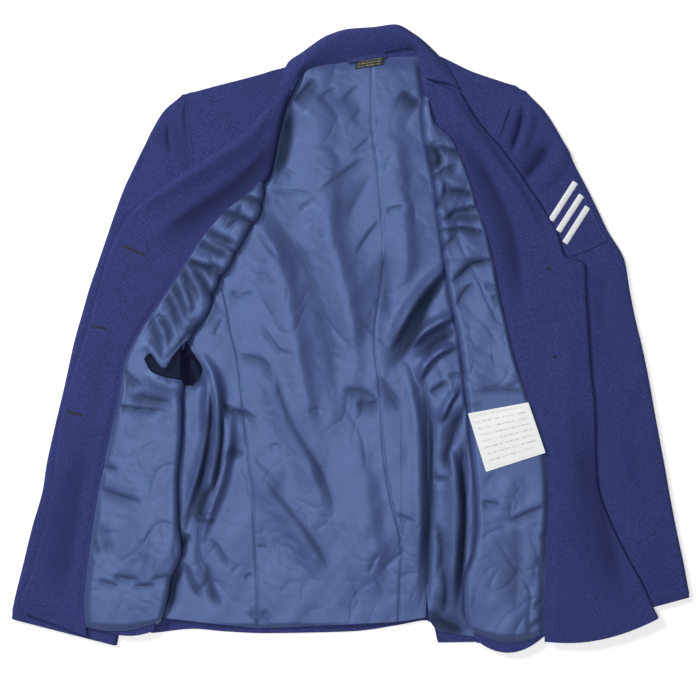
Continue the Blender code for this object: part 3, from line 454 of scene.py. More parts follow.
# Creases: rise over the cloth, negative for a valley | width | points in the photograph
BACK_CREASES = [Crease(*row) for row in (
    (8.5, 6.5, ((193, 344), (205, 360), (214, 378), (218, 402), (219, 430), (215, 462), (206, 494),
                (188, 530))),
    (6.0, 4.0, ((202, 366), (208, 392), (208, 424), (202, 460), (192, 494), (184, 526))),
    (5.0, 6.0, ((231, 402), (229, 440), (221, 480), (206, 520), (197, 552))),
    (3.6, 13.0, ((246, 190), (264, 232), (282, 274), (292, 326), (304, 392), (318, 460))),
    (3.0, 12.0, ((322, 128), (330, 176), (328, 216), (338, 262), (352, 330), (356, 410))),
    (3.0, 11.0, ((392, 110), (398, 170), (404, 222), (406, 262), (396, 316))),
    (3.0, 10.0, ((262, 344), (278, 400), (310, 465), (330, 524))),
    (2.8, 10.0, ((246, 452), (270, 490), (303, 534), (330, 584))),
    (2.4, 13.0, ((352, 420), (364, 480), (372, 540), (374, 610))),
    (8.0, 6.0, ((452, 254), (436, 276), (418, 298), (402, 324), (386, 354))),
    (7.0, 4.5, ((460, 312), (440, 322), (421, 334), (408, 352))),
    (6.0, 4.0, ((460, 344), (442, 350), (426, 364), (418, 384))),
    (5.0, 3.6, ((462, 384), (450, 400), (440, 424))),
    (9.0, 8.0, ((444, 432), (448, 448), (456, 474), (459, 510), (456, 548), (453, 584), (452, 622))),
    (3.0, 6.0, ((400, 352), (412, 392), (420, 450), (420, 520), (416, 600))),
    (2.0, 14.0, ((290, 120), (330, 110), (366, 118))),
    (-1.1, 1.6, ((350, 152), (362, 144), (372, 133))),
    (-0.8, 1.6, ((383, 173), (388, 160), (394, 149))),
    (-1.3, 1.7, ((354, 257), (366, 237), (382, 217))),
    (-1.3, 1.8, ((383, 211), (392, 208), (408, 205))),
    (-1.0, 1.5, ((273, 156), (285, 168), (297, 177))),
    (-1.0, 1.5, ((268, 189), (292, 190), (314, 194))),
    (-1.0, 1.6, ((317, 195), (309, 203), (298, 210))),
    (-1.6, 4.0, ((312, 196), (332, 181), (352, 166), (372, 151))),
    (-1.4, 7.0, ((372, 168), (358, 196), (346, 222))),
    (-1.6, 7.0, ((262, 190), (283, 228), (305, 259), (317, 296), (330, 342), (340, 420))),
    (-0.9, 1.6, ((255, 225), (267, 244), (278, 259))),
    (-0.7, 1.4, ((268, 238), (273, 249), (279, 257))),
    (-1.1, 1.8, ((229, 288), (240, 295), (253, 290))),
    (-1.0, 1.8, ((256, 319), (272, 340), (281, 351), (298, 353))),
    (-1.1, 2.0, ((222, 316), (219, 326), (213, 336))),
    (-1.6, 3.5, ((234, 353), (263, 361), (276, 387))),
    (-2.6, 2.6, ((219, 392), (230, 409), (244, 412), (259, 422))),
    (-0.8, 1.5, ((307, 411), (314, 409), (322, 407))),
    (-0.6, 1.5, ((268, 446), (281, 444))),
    (-2.0, 4.5, ((229, 446), (236, 451), (244, 457))),
    (-1.5, 5.0, ((268, 350), (290, 417), (324, 475), (339, 520))),
    (-1.5, 5.0, ((250, 461), (279, 495), (312, 537), (339, 580))),
    (-1.8, 4.0, ((340, 390), (357, 390), (379, 401))),
    (-2.4, 5.0, ((356, 402), (368, 403), (380, 400))),
    (-1.8, 6.0, ((377, 374), (390, 391), (403, 414))),
    (-1.6, 5.0, ((382, 240), (386, 281), (393, 325))),
    (-5.2, 8.5, ((456, 268), (440, 284), (427, 304), (420, 324), (409, 344), (398, 360), (383, 370))),
    (-5.2, 6.5, ((460, 330), (444, 338), (430, 348), (424, 362))),
    (-2.4, 2.4, ((428, 393), (438, 387), (449, 380))),
    (-1.4, 2.2, ((447, 374), (456, 374), (466, 376))),
    (-1.1, 2.2, ((465, 376), (454, 400), (440, 428))),
    (-5.0, 4.0, ((466, 400), (463, 412), (456, 428), (450, 446), (447, 457), (449, 470), (455, 480))),
    (-5.2, 4.4, ((424, 358), (426, 395), (432, 430), (432, 480), (429, 546), (428, 591), (425, 625))),
    (-1.0, 1.8, ((395, 512), (406, 518), (418, 521))),
    (-1.0, 1.8, ((380, 551), (374, 562), (368, 575))),
    (-1.0, 1.8, ((406, 548), (393, 561), (379, 572))),
    (-0.7, 1.5, ((255, 546), (269, 547))),
    (-0.8, 1.5, ((244, 579), (252, 573))),
    (-0.7, 1.5, ((239, 565), (232, 574))),
    (-1.4, 1.9, ((196, 515), (197, 547), (206, 577))),
    (-1.4, 1.9, ((211, 536), (220, 552), (230, 569))),
    (-1.0, 1.8, ((211, 579), (203, 587), (196, 595))),
    (-5.0, 6.0, ((214, 482), (206, 497), (200, 513), (212, 520))),
    (2.2, 2.2, ((194, 509), (201, 517), (216, 518))),
    (-4.0, 4.6, ((191, 533), (183, 545), (176, 560))),
    (-4.6, 3.4, ((222, 398), (223, 430), (220, 462), (212, 500))),
    (-4.2, 2.6, ((208, 380), (212, 405), (208, 440), (200, 480), (188, 520))),
    (-3.6, 2.4, ((214, 401), (212, 425), (207, 460), (196, 500), (182, 540))),
    (-4.0, 6.0, ((188, 349), (194, 364), (199, 376), (194, 392))),
    (-4.0, 7.0, ((291, 96), (290, 130), (284, 160), (274, 184))),
    (-2.6, 6.0, ((292, 103), (304, 90), (318, 76))),
    (-1.6, 5.0, ((316, 100), (327, 92), (338, 85))),
    (-1.2, 3.0, ((340, 103), (350, 92), (360, 82))),
    (-0.8, 2.2, ((352, 122), (358, 112), (363, 102))),
    (-3.0, 6.0, ((402, 88), (410, 97), (424, 104))),
    (-1.2, 3.0, ((262, 628), (256, 618), (246, 613))),
    (-4.4, 9.0, ((426, 612), (446, 622), (470, 634))),
    (-3.4, 3.0, ((440, 560), (446, 590), (444, 622))),
    (-2.6, 2.2, ((462, 440), (466, 470), (466, 510))),
    (-2.4, 2.0, ((424, 470), (440, 478), (452, 474))),
    (-3.4, 8.0, ((180, 556), (173, 590), (166, 618))),
    (-4.6, 5.0, ((470, 430), (464, 470), (465, 510), (463, 560), (458, 612))),
    (-3.0, 2.4, ((436, 520), (442, 548), (440, 580))),
    (-2.6, 2.4, ((205, 560), (212, 590), (222, 610))),
    (-2.0, 2.0, ((184, 560), (192, 580), (205, 600))),
    (-1.0, 2.4, ((272, 628), (262, 617), (268, 608))),
)]
BACK_SEAMS = (
    ((372, 66), (372, 116), (377, 160), (382, 212), (384, 259), (375, 336), (380, 390), (384, 454),
     (391, 499),
     (401, 548), (399, 622)),
    ((198, 230), (210, 257), (222, 285), (232, 334), (237, 354), (243, 405), (249, 463), (255, 540),
     (258, 628)),
)
FRONT_R_CREASES = [Crease(*row) for row in (
    (-3.2, 2.2, ((221, 209), (234, 214), (252, 221))),
    (-3.0, 2.2, ((207, 229), (219, 236), (234, 243))),
    (-3.0, 2.2, ((199, 239), (212, 247), (229, 254))),
    (-3.2, 2.4, ((186, 259), (202, 265), (221, 270))),
    (-3.0, 3.0, ((195, 268), (205, 281), (213, 299))),
    (-2.8, 2.2, ((171, 279), (181, 297), (188, 320))),
    (-2.4, 2.0, ((187, 284), (194, 303), (190, 314))),
    (-2.6, 2.2, ((161, 317), (171, 332), (170, 343))),
    (-2.4, 2.4, ((150, 314), (157, 330), (164, 345))),
    (-2.0, 1.6, ((205, 316), (190, 338), (170, 364))),
    (-2.0, 1.6, ((199, 318), (185, 338), (166, 358))),
    (-2.0, 2.6, ((124, 369), (131, 378), (140, 384))),
    (-2.4, 3.0, ((134, 394), (150, 398), (168, 401))),
    (-1.8, 1.6, ((115, 405), (138, 408), (165, 410))),
    (-2.0, 1.8, ((101, 464), (107, 466), (114, 468))),
    (-1.8, 3.0, ((99, 487), (120, 495), (140, 501))),
    (-1.2, 3.0, ((103, 526), (106, 538), (111, 550))),
    (-1.6, 2.4, ((94, 538), (96, 545), (99, 552))),
    (-1.4, 1.6, ((118, 575), (126, 577), (135, 578))),
    (-1.2, 1.6, ((104, 580), (110, 583), (116, 584))),
    (-1.4, 1.6, ((136, 585), (152, 584))),
    (-1.2, 1.6, ((156, 577), (168, 575))),
    (2.2, 4.0, ((141, 350), (150, 345), (162, 360), (173, 352), (187, 333))),
    (2.0, 4.0, ((148, 375), (166, 381), (186, 390))),
    (-3.0, 2.6, ((232, 193), (246, 196), (262, 204))),
    (-2.6, 2.6, ((180, 262), (190, 280), (200, 300))),
    (-2.6, 2.4, ((166, 292), (176, 310), (180, 330))),
    (-3.0, 2.6, ((212, 262), (222, 282), (222, 300))),
    (-2.4, 2.0, ((240, 204), (238, 216), (228, 226))),
    (-2.2, 1.8, ((214, 240), (224, 246), (236, 252))),
)]
FRONT_R_SEAMS = (
    ((178, 392), (181, 415), (180, 434), (176, 495), (175, 560)),
)
FRONT_L_CREASES = [Crease(*row) for row in (
    (-3.4, 4.0, ((428, 147), (436, 150), (440, 160), (434, 170))),
    (-2.6, 2.0, ((440, 147), (450, 150), (462, 152))),
    (-2.4, 3.0, ((436, 178), (444, 170), (456, 166))),
    (-2.8, 2.2, ((447, 192), (459, 191), (473, 194))),
    (-2.4, 3.0, ((440, 206), (444, 194), (446, 184))),
    (-2.8, 2.0, ((444, 222), (456, 211), (480, 207))),
    (-2.6, 2.0, ((450, 219), (464, 216), (482, 217))),
    (-2.8, 2.0, ((443, 231), (462, 228), (486, 233))),
    (-2.0, 2.4, ((445, 250), (450, 241), (457, 234))),
    (-2.8, 1.9, ((452, 282), (464, 270), (475, 262), (495, 260))),
    (-2.0, 2.2, ((457, 306), (462, 294), (472, 284))),
    (-1.4, 1.8, ((486, 284), (494, 286), (504, 286))),
    (-1.2, 1.8, ((494, 296), (507, 299))),
    (-2.0, 1.7, ((471, 392), (484, 389), (498, 387), (514, 388), (529, 392))),
    (-1.4, 1.7, ((468, 402), (474, 404), (478, 401))),
    (-1.6, 2.0, ((511, 520), (525, 513), (543, 506))),
    (-1.4, 2.0, ((486, 502), (495, 503))),
    (-1.4, 2.0, ((536, 604), (540, 600), (545, 597))),
    (-1.4, 2.0, ((530, 626), (538, 620), (545, 616))),
    (-1.4, 6.0, ((516, 520), (518, 560), (514, 610))),
    (-1.2, 1.6, ((543, 535), (549, 532))),
    (-1.2, 1.6, ((541, 560), (548, 556))),
)]
FACING_R_CREASES = [Crease(*row) for row in (
    (8.0, 8.0, ((118, 232), (130, 211), (160, 190), (194, 171), (250, 134), (280, 94), (311, 54))),
    (-3.4, 10.0, ((146, 258), (170, 228), (206, 202), (240, 178), (270, 146), (292, 106))),
    (-2.0, 12.0, ((88, 430), (76, 500), (66, 560), (60, 610))),
    (2.0, 14.0, ((112, 300), (92, 360), (80, 420), (60, 500))),
)]
FACING_L_CREASES = [Crease(*row) for row in (
    (5.5, 7.0, ((433, 60), (452, 100), (486, 148), (524, 204), (548, 250))),
    (-2.6, 8.0, ((442, 116), (466, 144), (494, 190), (514, 250), (522, 330))),
    (-2.4, 12.0, ((584, 400), (592, 450), (600, 500), (612, 560), (628, 620))),
    (2.4, 14.0, ((560, 280), (566, 340), (566, 420), (574, 500), (590, 600))),
)]
SLEEVE_CREASES = [Crease(*row) for row in (
    (-2.2, 2.0, ((167, 121), (168, 138), (172, 156))),
    (-1.0, 6.0, ((152, 130), (142, 160), (136, 186))),
    (-0.9, 5.0, ((178, 118), (180, 140), (184, 160))),
    (-4.4, 3.0, ((524, 102), (521, 122), (511, 156))),
    (-3.6, 2.6, ((513, 99), (508, 112), (498, 142))),
    (-3.4, 6.0, ((552, 140), (540, 160), (522, 182))),
    (2.2, 9.0, ((574, 138), (552, 172), (534, 194))),
    (2.0, 6.0, ((532, 104), (528, 128), (518, 156))),
    (-1.0, 6.0, ((612, 262), (604, 300), (606, 340))),
    (-0.8, 9.0, ((640, 380), (636, 450), (650, 520))),
)]

FRONT_CREASES = {"r": FRONT_R_CREASES, "l": FRONT_L_CREASES}
FRONT_SEAMS = {"r": FRONT_R_SEAMS, "l": ()}
FACING_CREASES = {"r": FACING_R_CREASES, "l": FACING_L_CREASES}

# Buttonholes of the right front, from the eye, and eyelets of the left, in the photograph
BUTTONHOLES = (((125, 246), (145, 254.5)), ((95.5, 326), (106.5, 327.5)), ((70.5, 411.5), (83, 414.5)))
EYELETS = ((548, 268), (554, 356))

# Small unevenness of each kind of cloth: height | length across | length along | turn | seed
SATIN_RIPPLES = [Ripple(*row) for row in (
    (3.4, 50.0, 150.0, 14.0, 3.1),
    (1.2, 21.0, 60.0, -32.0, 11.7),
    (0.15, 8.0, 20.0, 35.0, 23.9),
)]
WOOL_RIPPLES = [Ripple(*row) for row in (
    (1.6, 60.0, 140.0, 10.0, 5.3),
    (0.35, 24.0, 44.0, -20.0, 17.1),
)]

# Winding creases of crumpled satin: depth | length across | length along | turn | seed
SATIN_CRUMPLES = [Ripple(*row) for row in (
    (1.5, 36.0, 62.0, 28.0, 41.3),
    (1.0, 24.0, 40.0, -38.0, 57.9),
    (0.6, 13.0, 24.0, 70.0, 71.2),
)]


def sizes():
    return bpy.context.scene.jacket_sizes


def colour_property(name, words, colour):
    return bpy.props.FloatVectorProperty(
        name=name, description=words, subtype="COLOR", default=colour, min=0, max=1)


class JacketSizes(bpy.types.PropertyGroup):
    """Sizes of the cloth and its sewing."""
    cloth_step: bpy.props.FloatProperty(
        name="Cloth step", description="Distance between the points of a cloth, in mm",
        default=1.85, min=1.5, max=8)
    hidden_step: bpy.props.FloatProperty(
        name="Hidden step", description="The same for covered cloth, in mm", default=5.0, min=2, max=12)
    lining_ease: bpy.props.FloatProperty(
        name="Lining ease", description="How far the loose lining stands off the wool, in mm",
        default=5.2, min=0, max=8)
    crease_depth: bpy.props.FloatProperty(
        name="Crease depth", description="Share of the drawn height of every crease",
        default=1.0, min=0, max=2)
    ripple_depth: bpy.props.FloatProperty(
        name="Ripple depth", description="Share of the height of the cloth's unevenness",
        default=1.0, min=0, max=2)


class JacketColours(bpy.types.PropertyGroup):
    """Colours of the cloths, labels and threads."""
    wool: colour_property("Wool", "Colour of the wool", (0.038, 0.046, 0.168))
    satin: colour_property("Satin", "Colour of the lining", (0.085, 0.125, 0.330))
    # Near black: the sleeve lining's own dark colour together with painted shadow inside the sleeve's mouth
    dark_satin: colour_property("Sleeve lining", "Colour of the sleeve's lining", (0.012, 0.014, 0.040))
    white_label: colour_property("Care label", "Colour of the care label", (0.92, 0.94, 0.94))
    black_label: colour_property("Neck label", "Colour of the neck label", (0.012, 0.012, 0.014))
    stripe: colour_property("Rank stripe", "Colour of the embroidered bars", (0.86, 0.88, 0.90))
    button: colour_property("Button", "Colour of the buttons", (0.55, 0.56, 0.58))
    thread: colour_property("Thread", "Colour of the sewing thread", (0.032, 0.038, 0.078))
    floor: colour_property("Floor", "Colour of the floor", (0.90, 0.90, 0.90))


def feed(tree, socket, value):
    """Link a socket to another one, or set its value."""
    if isinstance(value, bpy.types.NodeSocket):
        tree.links.new(value, socket)
    else:
        socket.default_value = value


def math_method(operation, swapped=False):
    """Operator of a shader value, which adds a Math node."""
    def join(self, other):
        return self.shades.math(operation, *((other, self) if swapped else (self, other)))
    return join


class Number:
    """A value in a shader, with the usual operators and their reflected forms."""
    __add__, __radd__ = math_method("ADD"), math_method("ADD", True)
    __sub__, __rsub__ = math_method("SUBTRACT"), math_method("SUBTRACT", True)
    __mul__, __rmul__ = math_method("MULTIPLY"), math_method("MULTIPLY", True)
    __gt__, __lt__ = math_method("GREATER_THAN"), math_method("LESS_THAN")

    def __init__(self, shades, socket):
        self.shades = shades
        self.socket = socket


class Shades:
    """Builds the nodes of one material."""

    def __init__(self, name):
        self.material = bpy.data.materials.new(name)
        self.material.use_nodes = True
        self.tree = self.material.node_tree
        self.surface = self.tree.nodes["Principled BSDF"]

    def node(self, kind, settings=None, **values):
        """A node of one type, with its settings first and then its sockets' values or links."""
        made = self.tree.nodes.new(kind)
        for name, value in (settings or {}).items():
            if name == "stops":
                self.set_stops(made.color_ramp, value)
            else:
                setattr(made, name, value)
        for name, value in values.items():
            self.feed(made.inputs[name.replace("_", " ")], value)
        return made

    @staticmethod
    def set_stops(ramp, stops):
        while len(ramp.elements) < len(stops):
            ramp.elements.new(1.0)
        for element, (place, grey) in zip(ramp.elements, stops):
            element.position = place
            element.color = (grey, grey, grey, 1.0)

    def feed(self, socket, value):
        feed(self.tree, socket, value.socket if isinstance(value, Number) else value)

    def math(self, operation, *values):
        made = self.node("ShaderNodeMath", {"operation": operation})
        for socket, value in zip(made.inputs, values):
            self.feed(socket, value)
        return Number(self, made.outputs[0])

    def coordinates(self, output, scale=(1, 1, 1), turn=0.0):
        """Object or UV coordinates, stretched and turned."""
        source = self.node("ShaderNodeTexCoord")
        mapping = self.node("ShaderNodeMapping", Vector=source.outputs[output], Scale=scale,
                            Rotation=(0, 0, math.radians(turn)))
        return mapping.outputs["Vector"]

    def noise(self, vector, scale, detail=2.0, roughness=0.5):
        made = self.node("ShaderNodeTexNoise", Vector=vector, Scale=scale, Detail=detail, Roughness=roughness)
        return Number(self, made.outputs[0])

    def threads(self, pitch, turn=0.0):
        """Fine parallel lines along the cloth, a pitch in metres apart."""
        made = self.node("ShaderNodeTexWave", {"bands_direction": "X"}, Scale=1 / pitch / WAVE_ROUND,
                         Vector=self.coordinates("UV", turn=turn))
        return Number(self, made.outputs["Fac"])

    def hollow(self):
        """How deep in a crease's valley the cloth lies, from 0 to 1."""
        return Number(self, self.node("ShaderNodeAttribute", {"attribute_name": "hollow"}).outputs["Fac"])

    def blend(self, share, first, second):
        """Colour between two colours."""
        made = self.node("ShaderNodeMix", {"data_type": "RGBA"})
        for place, value in (("Factor", share), (6, first), (7, second)):
            self.feed(made.inputs[place], value)
        return made.outputs[2]

    def bump(self, height, strength, distance):
        made = self.node("ShaderNodeBump", Strength=strength, Distance=distance, Height=height)
        self.set(Normal=made.outputs["Normal"])

    def set(self, **values):
        """Values or links of the surface's own sockets."""
        for name, value in values.items():
            self.feed(self.surface.inputs[name.replace("_", " ")], value)


def shade(colour, factor):
    """The colour made lighter or darker, with a full alpha."""
    return (*(min(1.0, part * factor) for part in colour), 1.0)


def wool_cloth(colour):
    """Worsted twill: fine slanting ribs, faint mottling and a soft nap."""
    shades = Shades("wool_twill")
    here = shades.coordinates("Object")
    ribs = shades.threads(TWILL_PITCH, TWILL_SLANT)
    fibres = shades.noise(shades.coordinates("UV", scale=(1, 3, 1)), 900.0, detail=3.0)
    mottle = shades.noise(here, 18.0, detail=4.0, roughness=0.6)
    fleck = shades.noise(here, 700.0, detail=3.0)
    dark, light, deep = (shade(colour, tone) for tone in WOOL_TONES)
    cloth = shades.blend(mottle * 0.4 + (fleck - 0.5) * 2.4 + 0.3, dark, light)
    # Painted shade: the colour darkens towards the deep tone in the valleys of creases
    shades.set(Base_Color=shades.blend(shades.hollow(), cloth, deep), Roughness=0.78 + fibres * 0.14,
               Specular_IOR_Level=0.05)
    shades.bump(ribs * 0.4 + fibres * 0.6, strength=0.30, distance=0.0004)
    return shades.material


def satin_cloth(colour, name="satin_weave", gloss=1.0):
    """Acetate satin: smooth, with a soft shine, fine threads and small wrinkles."""
    shades = Shades(name)
    threads = shades.threads(SATIN_PITCH)
    crumple = shades.noise(shades.coordinates("UV", scale=(1.6, 1, 1)), 70.0, detail=4.0, roughness=0.55)
    pale = shades.noise(shades.coordinates("Object"), 14.0, detail=3.0)
    grain = shades.noise(shades.coordinates("UV", scale=(1, 2.4, 1)), 620.0)
    hollow = shades.hollow()
    dark, light, deep = (shade(colour, tone) for tone in SATIN_TONES)
    cloth = shades.blend(pale * 0.5 + crumple * 0.3 + (grain - 0.5) * 1.6 + 0.1, dark, light)
    # Painted shade: the colour darkens towards the deep tone in the valleys of creases, which also grow
    # rougher
    shades.set(Base_Color=shades.blend(hollow, cloth, deep), Roughness=0.47 + crumple * 0.08 + hollow * 0.4,
               IOR=1.55, Specular_IOR_Level=gloss, Specular_Tint=SATIN_TINT)
    shades.bump(crumple * 0.8 + threads * 0.1, strength=0.14, distance=0.0010)
    return shades.material


def label_cloth(colour, name, ink, print_rows):
    """Woven tape with soft grey rows, which are no lettering."""
    shades = Shades(name)
    weave = shades.threads(TAPE_PITCH) * 0.5 + shades.threads(TAPE_PITCH, 90) * 0.5
    uneven = shades.noise(shades.coordinates("Object"), 60.0, detail=3.0)
    tape = shades.blend(uneven, shade(colour, 0.92), shade(colour, 1.03))
    print_map = shades.node("ShaderNodeUVMap", {"uv_map": "print"}).outputs[0]
    split = shades.node("ShaderNodeSeparateXYZ", Vector=print_map)
    across, down = Number(shades, split.outputs["X"]), Number(shades, split.outputs["Y"])
    row = shades.math("FRACT", down * print_rows)
    number = shades.math("FLOOR", down * print_rows)
    place = shades.node("ShaderNodeCombineXYZ", X=across * 46.0, Y=number * 7.3).outputs[0]
    marks = shades.noise(place, 1.0, detail=3.0, roughness=0.8)
    strokes = shades.node("ShaderNodeValToRGB", {"stops": ((0.46, 0.0), (0.56, 1.0))}, Fac=marks)
    ink_share = Number(shades, strokes.outputs["Color"])
    for value, (least, most) in ((row, PRINT_ROW), (across, PRINT_ACROSS), (down, PRINT_DOWN)):
        ink_share = ink_share * (value > least) * (value < most)
    shades.set(Base_Color=shades.blend(ink_share, tape, shade(ink, 1.0)), Roughness=0.62)
    shades.bump(weave, strength=0.25, distance=0.0003)
    return shades.material


def stripe_thread(colour):
    """Dense embroidery whose threads lie across each bar."""
    shades = Shades("stripe_embroidery")
    threads = shades.threads(TAPE_PITCH, 90)
    worn = shades.noise(shades.coordinates("Object"), 160.0, detail=3.0)
    shades.set(Base_Color=shades.blend(threads * 0.5 + worn * 0.5, shade(colour, 0.86), shade(colour, 1.1)),
               Roughness=0.55)
    shades.bump(threads, strength=0.6, distance=0.0005)
    return shades.material


def button_metal(colour):
    """Worn satin metal."""
    shades = Shades("button_metal")
    worn = shades.noise(shades.coordinates("Object"), 240.0, detail=4.0)
    shades.set(Base_Color=shades.blend(worn, shade(colour, 0.8), shade(colour, 1.1)),
               Roughness=0.28 + worn * 0.2, Metallic=1.0)
    return shades.material


def plain_finish(name, colour, scale, detail, spread, **settings):
    """A finish whose colour varies faintly by a share."""
    shades = Shades(name)
    uneven = shades.noise(shades.coordinates("Object"), scale, detail=detail)
    mixed = shades.blend(uneven, shade(colour, 1 - spread), shade(colour, 1 + spread))
    shades.set(Base_Color=mixed, **settings)
    return shades.material


def thread_finish(name, colour):
    return plain_finish(name, colour, 1400.0, 2.0, 0.2, Roughness=0.6)


FINISHES = {}


def finish_of(slot):
    """Material of one of the record's slots, made once."""
    if slot not in FINISHES:
        colours = bpy.context.scene.jacket_colours
        makers = {
            "wool": lambda: wool_cloth(colours.wool),
            "satin": lambda: satin_cloth(colours.satin),
            # Sleeve lining with little shine, its near-black colour partly painted shadow of the sleeve's
            # mouth
            "dark_satin": lambda: satin_cloth(colours.dark_satin, "sleeve_satin_painted_shadow", 0.1),
            "white_label": lambda: label_cloth(colours.white_label, "white_tape", (0.58, 0.60, 0.61), 9),
            "black_label": lambda: label_cloth(colours.black_label, "black_tape", (0.42, 0.40, 0.16), 3),
            "white_stripe": lambda: stripe_thread(colours.stripe),
            "button": lambda: button_metal(colours.button),
            "thread": lambda: thread_finish("sewing_thread", colours.thread),
            "black_thread": lambda: thread_finish("black_thread", (0.004, 0.004, 0.010)),
            "white_thread": lambda: thread_finish("white_thread", (0.62, 0.64, 0.64)),
            "patch_thread": lambda: thread_finish("patch_thread", (0.095, 0.110, 0.290)),
        }
        FINISHES[slot] = makers[slot]()
    return FINISHES[slot]


def from_photo(points):
    """Points in the photograph's pixels as points of the plan, in mm."""
    points = np.array(points, float)
    return np.stack([(points[:, 0] - PHOTO_MIDDLE[0]) * PIXEL,
                     (PHOTO_MIDDLE[1] - points[:, 1]) * PIXEL], axis=1)


def spline(points, places):
    """Smooth curve through a table's points, without overshoot, at places counted in rows."""
    points = np.asarray(points, float)
    places = np.asarray(places, float)
    steps = np.diff(points, axis=0)
    before = np.vstack([steps[:1], steps])
    after = np.vstack([steps, steps[-1:]])
    same = before * after > 0
    slopes = np.where(same, 2 * before * after / np.where(same, before + after, 1.0), 0.0)
    row = np.clip(np.floor(places).astype(int), 0, len(points) - 2)
    part = (places - row)[:, None]
    start, end = points[row], points[row + 1]
    return (start * (2 * part ** 3 - 3 * part ** 2 + 1) + slopes[row] * (part ** 3 - 2 * part ** 2 + part)
            + end * (3 * part ** 2 - 2 * part ** 3) + slopes[row + 1] * (part ** 3 - part ** 2))


def even_places(points, first, last, step):
    """Places between two rows, evenly spaced along the curve through the points."""
    fine = np.linspace(first, last, SPLINE_SAMPLES)
    along = np.concatenate([[0.0], np.cumsum(np.linalg.norm(np.diff(spline(points, fine), axis=0), axis=1))])
    count = max(3, int(round(along[-1] / step)) + 1)
    return np.interp(np.linspace(0, along[-1], count), along, fine)


def resample(points, step):
    """Smooth line through points, evenly spaced."""
    return spline(points, even_places(points, 0, len(points) - 1, step))


def unit(vectors):
    return vectors / np.maximum(np.linalg.norm(vectors, axis=-1, keepdims=True), 1e-9)


def square_out(points, places, sign):
    """Direction square to a column of a table, away from the jacket's middle."""
    ahead = spline(points, np.minimum(places + 0.5, len(points) - 1))
    run = ahead - spline(points, np.maximum(places - 0.5, 0))
    out = unit(np.stack([-run[:, 1], run[:, 0]], axis=1))
    return out * np.where(out[:, :1] * sign < 0, -1.0, 1.0)


def beside(start, end):
    """Direction square to a straight line of the plan."""
    run = np.subtract(end, start)
    return unit(np.array([-run[1], run[0]], float))


def smooth_step(value):
    value = np.clip(value, 0.0, 1.0)
    return value * value * (3 - 2 * value)


def along_line(x, y, line):
    """Signed distance of points of the plan from a line, and the share of its length beside them."""
    lengths = np.linalg.norm(np.diff(line, axis=0), axis=1)
    nearest = np.full(x.shape, np.inf)
    signed, share = np.zeros(x.shape), np.zeros(x.shape)
    passed = 0.0
    for start, end, length in zip(line[:-1], line[1:], lengths):
        run = (end - start) / length
        right, up = x - start[0], y - start[1]
        part = np.clip(right * run[0] + up * run[1], 0, length)
        away = np.hypot(right - part * run[0], up - part * run[1])
        nearer = away < nearest
        side = np.sign(run[0] * up - run[1] * right)
        nearest = np.where(nearer, away, nearest)
        signed = np.where(nearer, away * side, signed)
        share = np.where(nearer, (passed + part) / lengths.sum(), share)
        passed += length
    return signed, share


def drawn_out(points, reach):
    """The points with both ends moved on along the line."""
    points = points.copy()
    first, last = unit(points[0] - points[1]), unit(points[-1] - points[-2])
    points[0] += first * reach
    points[-1] += last * reach
    return points


def crease_shape(x, y, creases, reach=0.0, widen=1.0):
    """Height of drawn creases over points of the plan, and how deep in a valley each point lies."""
    total, hollow = np.zeros(x.shape), np.zeros(x.shape)
    for crease in creases:
        line = resample(drawn_out(from_photo(crease.points), reach), CREASE_LINE_STEP)
        (west, south), (east, north) = line.min(axis=0), line.max(axis=0)
        room = widen * crease.width * CREASE_REACH
        near = (x > west - room) & (x < east + room) & (y > south - room) & (y < north + room)
        if not near.any():
            continue
        signed, share = along_line(x[near], y[near], line)
        taper = smooth_step(np.minimum(share, 1 - share) / CREASE_TAPER)
        steep, slack = RIDGE_SIDES if crease.rise > 0 else VALLEY_SIDES
        width = widen * crease.width * (CREASE_NARROW + (1 - CREASE_NARROW) * taper)
        width = width * np.where(signed < 0, slack, steep)
        if crease.rise > 0:
            body = np.exp(-(signed / width) ** 2)
        else:
            body = np.exp((VALLEY_TIP - np.hypot(signed, VALLEY_TIP)) / width)
            # Painted shade, strongest along the bottom of a deep valley
            depth = np.clip((-crease.rise - SHADE_START_DEPTH) / SHADE_DEPTH_RUN, 0.0, 1.0)
            deep = depth * taper * np.exp(-(signed / (SHADE_WIDTH * width)) ** 2)
            hollow[near] = np.maximum(hollow[near], deep)
        total[near] += crease.rise * taper * body
    return total * sizes().crease_depth, hollow * sizes().crease_depth


def drawn_noise(x, y, ripple, seed=0.0):
    """Smooth noise stretched and turned as a ripple says."""
    turn = math.radians(ripple.turn)
    across = (x * math.cos(turn) + y * math.sin(turn)) / ripple.across
    along = (y * math.cos(turn) - x * math.sin(turn)) / ripple.along
    drawn = [noise.noise(Vector((a, b, ripple.seed + seed))) for a, b in zip(across.ravel(), along.ravel())]
    return np.array(drawn).reshape(x.shape)


def crumple_height(x, y):
    """Narrow valleys that wind between soft puffs of satin, deep in some places and gone in others."""
    total = np.zeros(x.shape)
    for crumple in SATIN_CRUMPLES:
        winding = drawn_noise(x, y, crumple)
        where = drawn_noise(x * CRUMPLE_SPREAD, y * CRUMPLE_SPREAD, crumple, CRUMPLE_SEED)
        present = smooth_step(0.5 + CRUMPLE_CONTRAST * where)
        valley = np.exp(-(winding / CRUMPLE_WIDTH) ** 2)
        total += crumple.height * present * (np.abs(winding) * CRUMPLE_PUFF - valley)
    return total * sizes().crease_depth


def seam_dip(x, y, seams):
    """The shallow groove that a seam draws into its cloth."""
    total = np.zeros(x.shape)
    for seam in seams:
        signed, _ = along_line(x, y, resample(from_photo(seam), CREASE_LINE_STEP))
        total = np.maximum(total, np.exp(-(signed / SEAM_HALF_WIDTH) ** 2))
    return -SEAM_DIP * total


